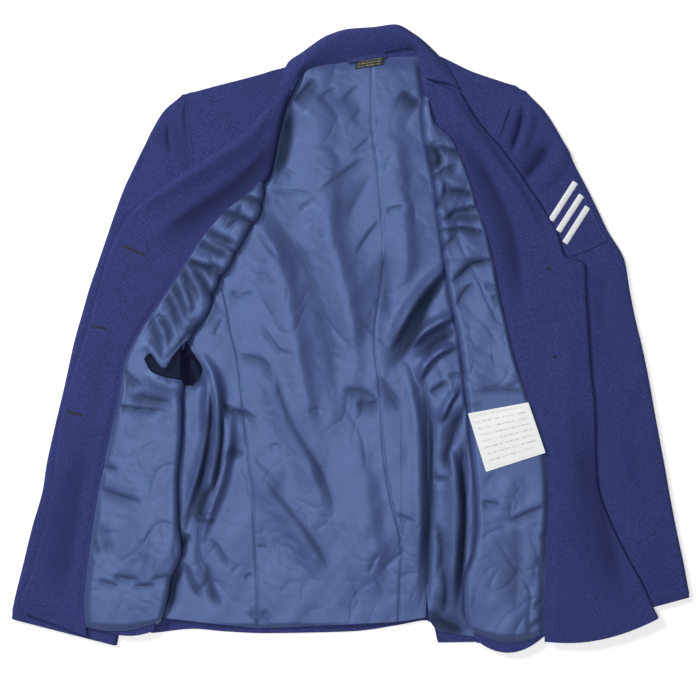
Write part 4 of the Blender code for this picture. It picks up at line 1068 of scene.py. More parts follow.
def ripple_height(x, y, ripples):
    """Small unevenness of laid cloth."""
    return sizes().ripple_depth * sum(ripple.height * drawn_noise(x, y, ripple) for ripple in ripples)


def sleeve_height(x, y):
    """Unevenness and undoubled creases of a sleeve, for what is sewn on it."""
    return ripple_height(x, y, WOOL_RIPPLES) + crease_shape(x, y, SLEEVE_CREASES)[0]


def plan_of(points):
    return points[..., 0], points[..., 1]


def grid_normals(grid):
    down, across = np.gradient(grid, axis=0), np.gradient(grid, axis=1)
    return unit(np.cross(across, down))


def link(name, data):
    """New object of the scene."""
    made = bpy.data.objects.new(name, data)
    bpy.context.scene.collection.objects.link(made)
    return made


def add_mesh(name, points, faces, uvs=None, hollow=None):
    """Smooth mesh from points in mm, with its cloth map and the depth of its creases."""
    mesh = bpy.data.meshes.new(name)
    mesh.from_pydata((points * MM).tolist(), [], faces)
    if uvs is not None:
        corners = np.zeros(len(mesh.loops), int)
        mesh.loops.foreach_get("vertex_index", corners)
        layer = mesh.uv_layers.new(name="cloth")
        layer.data.foreach_set("uv", (uvs[corners] * MM).astype(np.float32).ravel())
    if hollow is not None:
        depth = mesh.attributes.new("hollow", "FLOAT", "POINT")
        depth.data.foreach_set("value", hollow.astype(np.float32))
    mesh.shade_smooth()
    mesh.set_sharp_from_angle(angle=SHARP_ANGLE)
    mesh.update()
    return link(name, mesh)


def cloth_lengths(grid):
    """Distance along the rows and columns of a grid, as its flat coordinates."""
    across = np.linalg.norm(np.diff(grid, axis=1), axis=2).mean(axis=0)
    down = np.linalg.norm(np.diff(grid, axis=0), axis=2).mean(axis=1)
    return np.concatenate([[0.0], np.cumsum(across)]), np.concatenate([[0.0], np.cumsum(down)])


def add_cloth(name, grid, wall, hollow=None, kept=None):
    """Closed cloth wall round a grid of points on its middle surface, with a rounded edge."""
    rows, cols = grid.shape[:2]
    count = rows * cols
    number = np.arange(count).reshape(rows, cols)
    cells = np.stack([number[:-1, :-1], number[:-1, 1:], number[1:, 1:], number[1:, :-1]], axis=2)
    cells = cells.reshape(-1, 4) if kept is None else cells[kept]
    middle = grid.reshape(-1, 3)
    normals = grid_normals(grid).reshape(-1, 3)
    edges = np.concatenate([cells[:, [0, 1]], cells[:, [1, 2]], cells[:, [2, 3]], cells[:, [3, 0]]])
    backward = edges[:, 1] * count + edges[:, 0]
    rim = edges[~np.isin(edges[:, 0] * count + edges[:, 1], backward)]
    square = unit(np.cross(middle[rim[:, 1]] - middle[rim[:, 0]], normals[rim[:, 0]]))
    outward = np.zeros_like(middle)
    for end in (0, 1):
        np.add.at(outward, rim[:, end], square)
    brim = middle + unit(outward) * wall * BRIM
    points = np.concatenate([middle + normals * wall / 2, middle - normals * wall / 2, brim])
    first, second = rim[:, 0], rim[:, 1]
    faces = np.concatenate([
        cells,
        cells[:, ::-1] + count,
        np.stack([second, first, first + 2 * count, second + 2 * count], axis=1),
        np.stack([second + 2 * count, first + 2 * count, first + count, second + count], axis=1),
    ])
    used = np.unique(faces)
    renumber = np.zeros(3 * count, int)
    renumber[used] = np.arange(len(used))
    flat = np.stack(np.meshgrid(*cloth_lengths(grid)), axis=2).reshape(-1, 2)
    points[:, 1] -= OUTLINE_MIDDLE_Y
    depth = None if hollow is None else np.tile(hollow.ravel(), 3)[used]
    return add_mesh(name, points[used], renumber[faces].tolist(), np.tile(flat, (3, 1))[used], depth)


def settle(piece, node, slot):
    """Give a piece its finish, its body and its node, and declare its cut if it is a cloth."""
    piece.data.materials.clear()
    piece.data.materials.append(finish_of(slot))
    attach(piece, "root")
    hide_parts(node)


def lift(plan, height):
    """Points of the plan at a height each."""
    height = np.broadcast_to(np.asarray(height, float), plan.shape[:-1])
    return np.concatenate([plan, height[..., None]], axis=-1)


def column(plan, height):
    """One column of a grid."""
    return lift(plan, height)[:, None]


def between(start, end, share):
    """Points at shares of the way from one column of points to another."""
    share = np.asarray(share, float)[None, :, None]
    return start[:, None, :] * (1 - share) + end[:, None, :] * share


def shares(start, end, step):
    """Even shares from 0 to 1 across the widest place between two columns."""
    widest = np.linalg.norm(end - start, axis=1).max()
    return np.linspace(0, 1, max(LEAST_COLUMNS, int(round(widest / step)) + 1))


def turned_edge(centre, outward, height, radius, angles):
    """Columns round an edge, at angles up from level, seen from its centre line."""
    turn = np.radians(angles)
    plan = centre[:, None] + outward[:, None] * (radius * np.cos(turn))[None, :, None]
    return lift(plan, height + radius * np.sin(turn))


def displaced(grid, height, weight):
    """The grid moved along its normals by a height, in each column's share."""
    normals = grid_normals(grid)
    up = np.sign(np.median(normals[:, np.argmax(weight), 2]))
    return grid + normals * up * (height * weight[None, :])[..., None]


def hem_share(front, places):
    """0 above the last section, rising to 1 at the hem."""
    return np.clip(places - (len(front.sections.fold) - 2), 0, 1)


def fold_centre(front, places):
    """Line round which a front turns back."""
    fold = front.sections.fold
    return spline(fold, places) + square_out(fold, places, front.sign) * FOLD_REACH


def fold_arc(front, places, angles, radius):
    """Columns round the inner fold, from below to above."""
    inward = -square_out(front.sections.fold, places, front.sign)
    return turned_edge(fold_centre(front, places), inward, FOLD_CENTRE, radius, angles)


def seam_line(front, places, offset):
    """The facing seam, moved outward by an offset."""
    along = square_out(front.sections.fold, places, front.sign)
    seam = spline(front.sections.seam, places)
    least = fold_centre(front, places) + along * LEAST_LINING
    short = ((seam - least) * along).sum(axis=1, keepdims=True) < 0
    return np.where(short, least, seam) + along * offset


def sagged(plan, front, places, share, sag):
    """The plan with its hem hanging in a shallow curve."""
    plan = plan.copy()
    plan[:, :, 1] -= hem_share(front, places)[:, None] * (sag * 4 * share * (1 - share))[None, :]
    return plan


def front_lining_grid(front, places, step):
    """Lining of a turned-back front: under the fold, round it and over to the facing seam."""
    centre = fold_centre(front, places)
    seam = seam_line(front, places, -SEAM_GAP / 2)
    along = square_out(front.sections.fold, places, front.sign)
    hidden = column(centre + along * LINING_RETURN_WIDTH, LINING_RETURN)
    arc = fold_arc(front, places, FOLD_ANGLES, FOLD_LINING_RADIUS)
    share = shares(centre, seam, step)
    top = lift(sagged(between(centre, seam, share), front, places, share, front.hem_sag), FRONT_LINING)
    grid = np.concatenate([hidden, arc, top], axis=1)
    freed = smooth_step((FOLD_ANGLES + FOLD_FREE_START) / FOLD_FREE_RUN)
    weight = np.concatenate([[0.0], freed, np.ones(len(share))])
    return grid, weight, np.concatenate([np.zeros(len(FOLD_ANGLES) + 1), share])


def puff_height(side, places, share):
    """Fullness of the ruched lining at the chest."""
    start, end = PUFF_ROWS[side]
    down = smooth_step((places - start) / PUFF_FADES[0]) * smooth_step((end - places) / PUFF_FADES[1])
    return PUFF_HEIGHT * down[:, None] * smooth_step(PUFF_WIDTH - share)[None, :]


def under_label(places):
    """How far the care label holds the lining flat."""
    start, end = LABEL_ROWS
    down = smooth_step((places - start) / LABEL_ROWS_FADE) * smooth_step((end - places) / LABEL_ROWS_FADE)
    return LABEL_PRESS * down[:, None]


def inside_outline(x, y, outline):
    inside = np.zeros(x.shape, bool)
    for start, end in zip(outline, np.roll(outline, -1, axis=0)):
        crosses = (start[1] > y) != (end[1] > y)
        rise = np.where(end[1] == start[1], 1e-9, end[1] - start[1])
        at = start[0] + (y - start[1]) / rise * (end[0] - start[0])
        inside ^= crosses & (x < at)
    return inside


def cut_hole(grid, outline):
    """Open the cloth along an outline: near points move onto it, and the cells inside are left out."""
    x, y = plan_of(grid)
    rim = resample(np.vstack([outline, outline[:1]]), MOUTH_STEP)
    gap = np.hypot(x[:, :, None] - rim[:, 0], y[:, :, None] - rim[:, 1])
    nearest = gap.argmin(axis=2)
    snap = (gap.min(axis=2) < MOUTH_SNAP) & (grid[:, :, 2] > MOUTH_LOW)
    moved = grid.copy()
    moved[snap, :2] = rim[nearest[snap]]
    centre = (moved[:-1, :-1] + moved[1:, :-1] + moved[:-1, 1:] + moved[1:, 1:]) / 4
    return moved, ~(inside_outline(*plan_of(centre), rim) & (centre[:, :, 2] > MOUTH_LOW))


def make_front_lining(side):
    """Ruched satin of a turned-back front, open at the mouth of the right sleeve."""
    front, ease, step = FRONTS[side], sizes().lining_ease, sizes().cloth_step
    last = len(front.sections.fold) - 1 - LINING_HEM_UP
    places = even_places(front.sections.fold, front.neck_rows, last, step)
    grid, weight, share = front_lining_grid(front, places, step)
    x, y = plan_of(grid)
    tucks, hollow = crease_shape(x, y, FRONT_CREASES[side], TUCK_REACH, TUCK_WIDEN)
    height = ease + puff_height(side, places, share) + TUCK_GAIN * tucks
    height = height + ripple_height(x, y, SATIN_RIPPLES) + FRONT_CRUMPLE * crumple_height(x, y)
    if side == "l":
        pressed = under_label(places)
        height = height * (1 - pressed) + ease * pressed
    loose = smooth_step((1 - share) / SEAM_FADE)[None, :]
    ends = smooth_step(places - WRAP_END[side] + LINING_TOP_START)
    ends = ends * smooth_step((places[-1] - places) / LINING_HEM_FADE)
    height = height * loose * ends[:, None] + seam_dip(x, y, FRONT_SEAMS[side]) * loose
    shaped = displaced(grid, np.maximum(height, 0.0), weight)
    shaped, kept = cut_hole(shaped, MOUTH) if side == "r" else (shaped, None)
    piece = add_cloth(f"satin_front_{side}", shaped, SATIN, hollow, kept)
    settle(piece, f"front_lining_{side}", "satin")


def facing_return(front, places, centre, along):
    """Columns of the strip that goes back under the front, widest at the lapel."""
    room = np.linalg.norm(centre - fold_centre(front, places), axis=1)
    lapel = smooth_step(front.lapel_end + 1 - places)
    width = np.minimum(EDGE_RETURN_WIDTH + (LAPEL_RETURN_WIDTH - EDGE_RETURN_WIDTH) * lapel, 0.5 * room)
    return [column(centre - along * (width * part)[:, None], LAPEL_RETURN) for part in (0.5, 1.0)]


def facing_grid(front, places, step):
    """Facing from the roll line or its seam over the front edge and back under it."""
    along = square_out(front.sections.edge, places, front.sign)
    centre = spline(front.sections.edge, places) - along * EDGE_REACH
    seam = seam_line(front, places, SEAM_GAP / 2)
    wrap = smooth_step((WRAP_END[front.side] - places) / WRAP_FADE)[:, None]
    start = fold_centre(front, places) * wrap + seam * (1 - wrap)
    share = shares(start, centre, step)[:-1]
    run = share[None, :] * np.linalg.norm(centre - start, axis=1)[:, None]
    rolled_up = (FOLD_CENTRE + WRAP_RADIUS - FACING) * wrap * (1 - smooth_step(run / WRAP_RUN))
    flat = sagged(between(start, centre, share), front, places, share, front.edge_sag)
    flat = lift(flat, FACING + rolled_up)
    rolled = fold_arc(front, places, WRAP_ANGLES, WRAP_RADIUS)
    tucked = np.repeat(column(seam, FACING), len(WRAP_ANGLES), axis=1)
    tucked[:, :, :2] -= along[:, None] * (TUCKED_STEP * np.arange(len(WRAP_ANGLES), 0, -1))[None, :, None]
    rolled = rolled * wrap[..., None] + tucked * (1 - wrap[..., None])
    edge = turned_edge(centre, along, FRONT_LAYER, EDGE_RADIUS, HALF_TURN[::-1])
    grid = np.concatenate([rolled, flat, edge, *facing_return(front, places, centre, along)], axis=1)
    turn = np.sin(np.radians(HALF_TURN[::-1]))
    weight = np.concatenate([smooth_step(WRAP_ANGLES / 90), np.ones(len(share)),
                             smooth_step((turn + EDGE_FREE_START) / EDGE_FREE_RUN), [0.0, 0.0]])
    from_seam = np.concatenate([np.zeros(len(WRAP_ANGLES)), share, np.ones(len(HALF_TURN) + 2)])
    return grid, weight, np.maximum(smooth_step(from_seam / SEAM_FADE)[None, :], wrap)


def make_facing(side):
    """Wool facing of a front, with its lapel."""
    front, step = FRONTS[side], sizes().cloth_step * FACING_STEP
    places = even_places(front.sections.edge, front.neck_rows, len(front.sections.fold) - 1, step)
    grid, weight, free = facing_grid(front, places, step)
    x, y = plan_of(grid)
    folds, hollow = crease_shape(x, y, FACING_CREASES[side])
    height = folds + ripple_height(x, y, WOOL_RIPPLES) + FACING_EASE
    shaped = displaced(grid, np.maximum(height, 0.0) * free, weight)
    piece = add_cloth(f"wool_facing_{side}", shaped, WOOL, hollow)
    settle(piece, f"front_facing_{side}", "wool")


def shell_sag(front, share):
    """How far the shell's hem hangs at shares of its width: as the lining does, then as the facing does."""
    fold, seam, edge = (line[-1] for line in front.sections[:3])
    parting = np.linalg.norm(seam - fold) / np.linalg.norm(edge - fold)
    by_lining, by_facing = share / parting, (share - parting) / (1 - parting)
    return np.where(share < parting, front.hem_sag * 4 * by_lining * (1 - by_lining),
                    front.edge_sag * 4 * by_facing * (1 - by_facing))


def front_shell_grid(front, places, step):
    """Shell over the sleeve, round the fold and out to the edge, with the shares of its lower columns."""
    centre, side_line = fold_centre(front, places), spline(front.sections.side, places)
    inward = unit(centre - side_line)
    drop = smooth_step((front.drop_rows - places) / DROP_FADE)[:, None]
    start = side_line + inward * (SEAM_GAP + drop * WOOL / 2)
    turn_in = np.minimum(TURN_RADIUS, np.linalg.norm(centre - start, axis=1) / 3)[:, None]
    rim = column(start, SLEEVE_TOP - drop[:, 0] * (SLEEVE_TOP - TURN_END))
    tuck = turn_in * (1 - drop * SHOULDER_TUCK)
    shoulder = column(start + inward * tuck, SLEEVE_TOP - drop[:, 0] * SHOULDER_DROP)
    inner = start + inward * turn_in
    share = shares(inner, centre, step)[:-1]
    lower = lift(between(inner, centre, share), SLEEVE_TOP)
    arc = fold_arc(front, places, HALF_TURN, FOLD_SHELL_RADIUS)
    edge = spline(front.sections.edge, places)
    inset = np.minimum(EDGE_REACH + SHELL_INSET, np.linalg.norm(edge - centre, axis=1) - LEAST_SHELL)
    end = edge - square_out(front.sections.edge, places, front.sign) * inset[:, None]
    upper_share = shares(centre, end, step)[1:]
    upper = between(centre, end, upper_share)
    upper[:, :, 1] -= hem_share(front, places)[:, None] * shell_sag(front, upper_share)
    return np.concatenate([rim, shoulder, lower, arc, lift(upper, FRONT_LAYER)], axis=1), share


def make_front_shell(side):
    """Outer wool of a front, which shows at the shoulder and along the hem."""
    front, step = FRONTS[side], sizes().hidden_step
    places = even_places(front.sections.fold, 0, len(front.sections.fold) - 1, step)
    grid, share = front_shell_grid(front, places, step)
    lower = slice(2, 2 + len(share))
    weight, room = np.zeros(grid.shape[1]), np.zeros(grid.shape[1])
    weight[lower] = 1.0
    room[lower] = np.sin(np.pi * share)
    kept = np.ones((grid.shape[0] - 1, grid.shape[1] - 1), bool)
    kept[places[:-1] < front.neck_rows, 1 + len(share):] = False
    shown = smooth_step((FRONT_TOP_ROWS - places) / FRONT_TOP_FADE)[:, None]
    height = (SHOULDER_EASE + ripple_height(*plan_of(grid), WOOL_RIPPLES)) * shown * room[None, :]
    piece = add_cloth(f"wool_front_{side}", displaced(grid, height, weight), WOOL, kept=kept)
    settle(piece, f"front_shell_{side}", "wool")


def beyond_front(front, x, y):
    """1 where a sleeve shows beside the front's edge, 0 well under the front."""
    signed, _ = along_line(x, y, front.sections.edge[front.neck_rows:])
    return smooth_step((signed * front.sign + FRONT_EDGE_START) / FRONT_EDGE_FADE)


def sleeve_top_grid(side, places, step):
    """Upper side of a flattened sleeve, with its outer edge turned down."""
    outer, inner = spline(SLEEVES[side].outer, places), spline(SLEEVES[side].inner, places)
    across = unit(outer - inner)
    closed = smooth_step(places - ARMHOLE_ROWS[side])[:, None]
    edge = inner + across * (TURN_REACH - TURN_RADIUS)
    start = (inner + across * SEAM_GAP / 2) * (1 - closed) + edge * closed
    rim = column(start, SLEEVE_TOP - closed[:, 0] * (SLEEVE_TOP - TURN_END))
    knuckle = column(start + across * (KNUCKLE_IN - KNUCKLE_TUCK * closed),
                     SLEEVE_TOP - closed[:, 0] * TURN_RADIUS * KNUCKLE_DROP)
    flat_start = start + across * (KNUCKLE_END + closed * (TURN_RADIUS - KNUCKLE_END))
    centre = outer - across * TURN_REACH
    share = shares(flat_start, centre, step)[:-1]
    flat = lift(between(flat_start, centre, share), SLEEVE_TOP)
    arc = turned_edge(centre, across, SLEEVE_TOP - TURN_RADIUS, TURN_RADIUS, SLEEVE_ANGLES)
    foot = column(centre + across * TURN_RADIUS, TURN_END)
    turned = smooth_step(np.sin(np.radians(SLEEVE_ANGLES))) * SLEEVE_TURN_SHARE
    weight = np.concatenate([[0.0, 0.0], smooth_step(share / SLEEVE_EDGE_FADE), turned, [0.0]])
    return np.concatenate([rim, knuckle, flat, arc, foot], axis=1), weight


def make_sleeve(side):
    """Top and under sleeve, flattened on each other."""
    table, step, hidden_step = SLEEVES[side], sizes().cloth_step * SLEEVE_STEP, sizes().hidden_step
    last = len(table.outer) - 1
    places = even_places(table.outer, 0, last, step)
    grid, weight = sleeve_top_grid(side, places, step)
    x, y = plan_of(grid)
    beyond = beyond_front(FRONTS[side], x, y)
    folds, hollow = crease_shape(x, y, SLEEVE_CREASES)
    height = (SLEEVE_EASE + SLEEVE_GAIN * folds + ripple_height(x, y, WOOL_RIPPLES)) * beyond
    at_hem = smooth_step((places[-1] - places) / SLEEVE_HEM_FADE)[:, None]
    height = height * at_hem * smooth_step(places)[:, None]
    top = add_cloth(f"wool_sleeve_top_{side}", displaced(grid, height, weight), WOOL, hollow * beyond)
    settle(top, f"sleeve_top_{side}", "wool")
    places = even_places(table.outer, 0, last, hidden_step)
    left, right = spline(table.inner, places), spline(table.outer, places)
    aside, share = unit(right - left), shares(left, right, hidden_step)
    under = lift(between(left + aside * SEAM_GAP / 2, right - aside * WOOL / 2, share), FLOOR_LAYER)
    bottom = add_cloth(f"wool_sleeve_under_{side}", under, WOOL)
    settle(bottom, f"sleeve_under_{side}", "wool")


def side_line_of_back(side, places):
    """Seam between the back and a side piece."""
    front = FRONTS[side]
    seam = spline(front.sections.side, places)
    if side == "r":
        return seam - square_out(front.sections.side, places, front.sign) * SIDE_SEAM_IN
    left = BACK_LININGS["back_lining_side_l"].left
    x = np.interp(-seam[:, 1], -left[:, 1], left[:, 0])
    return np.stack([x, seam[:, 1]], axis=1)


def make_side_shell(side):
    """Side piece, from its seam with the back round the lowest edge and up to the front."""
    front = FRONTS[side]
    last = len(front.sections.side) - 1
    places = even_places(front.sections.side, UNDERARM_ROW[side], last, sizes().hidden_step)
    seam = spline(front.sections.side, places)
    along = square_out(front.sections.side, places, front.sign)
    centre = seam + along * SIDE_TURN_OUT
    start = side_line_of_back(side, places) + along * SEAM_GAP
    flat = lift(between(start, centre, SIDE_SHARES), FLOOR_LAYER)
    arc = turned_edge(centre, along, SIDE_TURN_CENTRE, SIDE_TURN_RADIUS, HALF_TURN)
    grid = np.concatenate([flat, arc, column(seam, SLEEVE_TOP)], axis=1)
    settle(add_cloth(f"wool_side_{side}", grid, WOOL), f"side_shell_{side}", "wool")


def sampled(line, count):
    """So many points of a smooth line, evenly spaced."""
    fine = resample(np.array(line, float), 1.0)
    return fine[(np.linspace(0, 1, count) * (len(fine) - 1)).round().astype(int)]


def edge_blend(top, bottom, left, right, rows, cols):
    """Grid that fills four curves which meet at their ends."""
    top, bottom = sampled(top, cols), sampled(bottom, cols)
    left, right = sampled(left, rows), sampled(right, rows)
    down = np.linspace(0, 1, rows)[:, None, None]
    side = np.linspace(0, 1, cols)[None, :, None]
    ruled = (1 - down) * top[None] + down * bottom[None] + (1 - side) * left[:, None] + side * right[:, None]
    corners = ((1 - down) * (1 - side) * top[0] + (1 - down) * side * top[-1]
               + down * (1 - side) * bottom[0] + down * side * bottom[-1])
    return ruled - corners


def make_back_shell():
    """Wool back between the shoulders, the armholes, the side seams and the hem."""
    edges = {}
    for side, front in FRONTS.items():
        arm = SLEEVES[side].inner[:ARMHOLE_ROWS[side] + 1]
        last = len(front.sections.side) - 1
        seam = side_line_of_back(side, np.linspace(UNDERARM_ROW[side], last, SIDE_LINE_POINTS))
        edges[side] = np.vstack([arm, seam])
    neck = np.vstack([SHOULDER_R, NECK_SEAM, SHOULDER_L])
    hem = np.vstack([edges["r"][-1:], BACK_HEM, edges["l"][-1:]])
    grid = lift(edge_blend(neck, hem, edges["r"], edges["l"], *BACK_GRID), FLOOR_LAYER)
    settle(add_cloth("wool_back", grid, WOOL), "back_shell", "wool")


def covered_by_fronts(x, y):
    """1 where the back lining lies free between the folds, falling to 0 under a front."""
    free = np.ones(x.shape)
    for front in FRONTS.values():
        signed, _ = along_line(x, y, resample(front.sections.fold, FOLD_LINE_STEP))
        free = free * smooth_step((-signed * front.sign + FOLD_EDGE_START) / FOLD_EDGE_FADE)
    return free


def back_lining_shape(x, y):
    """How high the loose lining of the back lies over its flat place, and how deep in a valley."""
    folds, hollow = crease_shape(x, y, BACK_CREASES)
    height = sizes().lining_ease + ripple_height(x, y, SATIN_RIPPLES) + BACK_CRUMPLE * crumple_height(x, y)
    height = height + BACK_GAIN * folds + seam_dip(x, y, BACK_SEAMS)
    ends = np.minimum(smooth_step((NECK_LINE_Y - y) / NECK_FADE), smooth_step((y - LINING_HEM_Y) / HEM_FADE))
    return np.maximum(height * covered_by_fronts(x, y), 0.0) * ends, hollow


def make_back_lining(name):
    """One satin panel of the back."""
    table, step = BACK_LININGS[name], sizes().cloth_step
    places = even_places(table.right if name.endswith("_r") else table.left, 0, len(table.left) - 1, step)
    left, right = spline(table.left, places), spline(table.right, places)
    overlap = unit(right - left) * PANEL_OVERLAP
    left, right = left - overlap, right + overlap
    flat = lift(between(left, right, shares(left, right, step)), BACK_LINING)
    height, hollow = back_lining_shape(*plan_of(flat))
    grid = flat.copy()
    grid[:, :, 2] += height
    piece = add_cloth(name.replace("back_lining", "satin_back"), grid, SATIN, hollow)
    settle(piece, name, "satin")


def make_collar():
    """Stand up to the ridge, and the fall over it."""
    places = even_places(COLLAR.ridge, 0, len(COLLAR.seam) - 1, sizes().cloth_step)
    seam, ridge, outer, heights = (spline(line, places) for line in COLLAR)
    low, high, lowest = heights[:, :1], heights[:, 1:2], heights[:, 2:]
    up = np.linspace(0, 1, STAND_COLUMNS)
    stand = lift(between(seam, ridge, up), low + (high - low) * np.sin(up * np.pi / 2)[None, :])
    down = np.linspace(0, 1, CAPE_COLUMNS)[1:]
    cape = lift(between(ridge, outer, down), high + (lowest - high) * (1 - np.cos(down * np.pi / 2))[None, :])
    grid = np.concatenate([stand, cape], axis=1)
    weight = np.concatenate([smooth_step(up * 3), 1 - down * 0.8])
    shaped = displaced(grid, COLLAR_RIPPLE * ripple_height(*plan_of(grid), WOOL_RIPPLES), weight)
    settle(add_cloth("wool_collar", shaped, WOOL), "collar", "wool")


def slab_grid(corners, cols, rows):
    """Grid inside four corners, the first two along its first row."""
    first, second, third, fourth = np.asarray(corners, float)
    across = np.linspace(0, 1, cols)[None, :, None]
    along = np.linspace(0, 1, rows)[:, None, None]
    near, far = first * (1 - across) + second * across, fourth * (1 - across) + third * across
    return near * (1 - along) + far * along


def add_print_map(piece, grid):
    """Second map from 0 to 1 over the whole label, for its printed rows."""
    mesh = piece.data
    layer = mesh.uv_layers.new(name="print")
    cloth = np.zeros(len(mesh.loops) * 2, np.float32)
    mesh.uv_layers["cloth"].data.foreach_get("uv", cloth)
    whole = np.array([lengths[-1] * MM for lengths in cloth_lengths(grid)], np.float32)
    layer.data.foreach_set("uv", (cloth.reshape(-1, 2) / whole).ravel())


def care_label_grid():
    plan = slab_grid(from_photo(CARE_LABEL_CORNERS), *CARE_LABEL_GRID)
    grid = lift(plan, FRONT_LINING + sizes().lining_ease + SATIN / 2 + SEAM_GAP + LABEL_WALL / 2)
    across, down = (np.sin(np.pi * np.linspace(0, 1, count)) for count in CARE_LABEL_GRID)
    wave = LABEL_WAVE * ripple_height(*plan_of(grid), SATIN_RIPPLES[:2])
    grid[:, :, 2] += wave + LABEL_SWELL * (down[:, None] * across[None, :])
    return grid


def make_care_label():
    grid = care_label_grid()
    piece = add_cloth("care_label_tape", grid, LABEL_TAPE)
    add_print_map(piece, grid)
    settle(piece, "care_label", "white_label")


def make_neck_label():
    grid = lift(slab_grid(NECK_LABEL, *NECK_LABEL_GRID), BACK_LINING + SATIN / 2 + SEAM_GAP + LABEL_WALL / 2)
    grid[:, :, 2] += back_lining_shape(*plan_of(grid))[0].max()
    piece = add_cloth("neck_label_tape", grid, LABEL_WALL)
    add_print_map(piece, grid)
    settle(piece, "neck_label", "black_label")


def make_hanger_loop():
    """Strap at the neck, bowed up between its ends."""
    start, end = HANGER_ENDS
    cols, rows = STRAP_GRID
    along = np.linspace(0, 1, rows)[:, None, None]
    across = np.linspace(-1, 1, cols)[None, :, None]
    plan = start * (1 - along) + end * along + beside(start, end) * STRAP_WIDTH / 2 * across
    grid = lift(plan, HANGER_HEIGHT + HANGER_BOW * np.sin(np.pi * along[:, :, 0]))
    settle(add_cloth("hanger_strap", grid, LABEL_WALL), "hanger_loop", "wool")


def patch_height():
    return SLEEVE_TOP + WOOL / 2 + SLEEVE_EASE + SEAM_GAP + LABEL_WALL / 2


def patch_grid():
    """Patch laid on the left sleeve, its corners counted in the sleeve's rows and shares of its width."""
    table = SLEEVES["l"]
    place = slab_grid(PATCH_CORNERS, *PATCH_GRID)
    plan = np.zeros(place.shape)
    for row, where in enumerate(place):
        inner, outer = spline(table.inner, where[:, 0]), spline(table.outer, where[:, 0])
        plan[row] = inner + (outer - inner) * where[:, 1:]
    grid = lift(plan, patch_height())
    grid[:, :, 2] += sleeve_height(*plan_of(grid))
    return grid


def make_patch():
    grid = patch_grid()
    piece = add_cloth("wool_patch", grid, LABEL_WALL)
    settle(piece, "sleeve_patch_l", "wool")


def make_stripes():
    """Embroidered bars on the patch."""
    for index, (start, end) in enumerate(STRIPES, start=1):
        start, end = np.array(start, float), np.array(end, float)
        aside = beside(start, end) * STRIPE_WIDTH / 2
        plan = slab_grid((start - aside, start + aside, end + aside, end - aside), *STRIPE_GRID)
        grid = lift(plan, patch_height() + LABEL_WALL / 2 + STRIPE_WALL / 2)
        grid[:, :, 2] += sleeve_height(*plan_of(grid))
        grid[:, :, 2] += STRIPE_CROWN * np.sin(np.pi * np.linspace(0, 1, STRIPE_GRID[0]))[None, :]
        settle(add_cloth(f"stripe_bar_{index}", grid, STRIPE_WALL), f"rank_stripe_{index}", "white_stripe")


def make_sleeve_lining():
    """Dark lining deep in the mouth of the right sleeve, which comes over the fold beside it."""
    cols, rows = MOUTH_GRID
    places = np.linspace(0, len(SLEEVE_LINING.left) - 1, rows)
    left, right = spline(SLEEVE_LINING.left, places), spline(SLEEVE_LINING.right, places)
    plan = between(left, right, np.linspace(0, 1, cols))
    x, y = plan_of(plan)
    high = FRONT_LAYER + (WOOL + LABEL_WALL) / 2 + SEAM_GAP
    low = BACK_LINING + (SATIN + LABEL_WALL) / 2 + SEAM_GAP + back_lining_shape(x, y)[0]
    # Where the sheet falls onto the back lining it is only painted shadow
    fall_start, fall_run = SLEEVE_LINING_FALL
    fallen = smooth_step((x - fall_start) / fall_run)
    grid = lift(plan, high * (1 - fallen) + low * fallen)
    grid[:, :, 2] += np.maximum(SLEEVE_LINING_RIPPLE * ripple_height(x, y, SATIN_RIPPLES), 0.0) * (1 - fallen)
    piece = add_cloth("satin_sleeve_r", grid, LABEL_WALL)
    settle(piece, "sleeve_lining_r", "dark_satin")


def make_buttons():
    """Plain domed buttons, each in the place of its solid."""
    turn = np.linspace(0, 2 * np.pi, BUTTON_SIDES, endpoint=False)
    for name in ("button_1", "button_2", "button_3"):
        low, high = (np.array(corner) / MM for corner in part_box(name))
        centre, width, depth = (low + high) / 2, high[0] - low[0], high[2] - low[2]
        points = [(centre[0], centre[1], low[2])]
        for radius, up in BUTTON_PROFILE[1:-1]:
            reach = radius * width / 2
            points += [(centre[0] + reach * math.cos(angle), centre[1] + reach * math.sin(angle),
                        low[2] + up * depth) for angle in turn]
        points.append((centre[0], centre[1], high[2]))
        top = len(points) - 1
        faces = []
        for side in range(BUTTON_SIDES):
            after = (side + 1) % BUTTON_SIDES
            faces.append((0, 1 + after, 1 + side))
            faces.append((top, top - BUTTON_SIDES + side, top - BUTTON_SIDES + after))
            for level in range(len(BUTTON_PROFILE) - 3):
                first = 1 + level * BUTTON_SIDES
                above = first + BUTTON_SIDES
                faces.append((first + side, first + after, above + after, above + side))
        settle(add_mesh(f"plain_{name}", np.array(points), faces), name, "button")


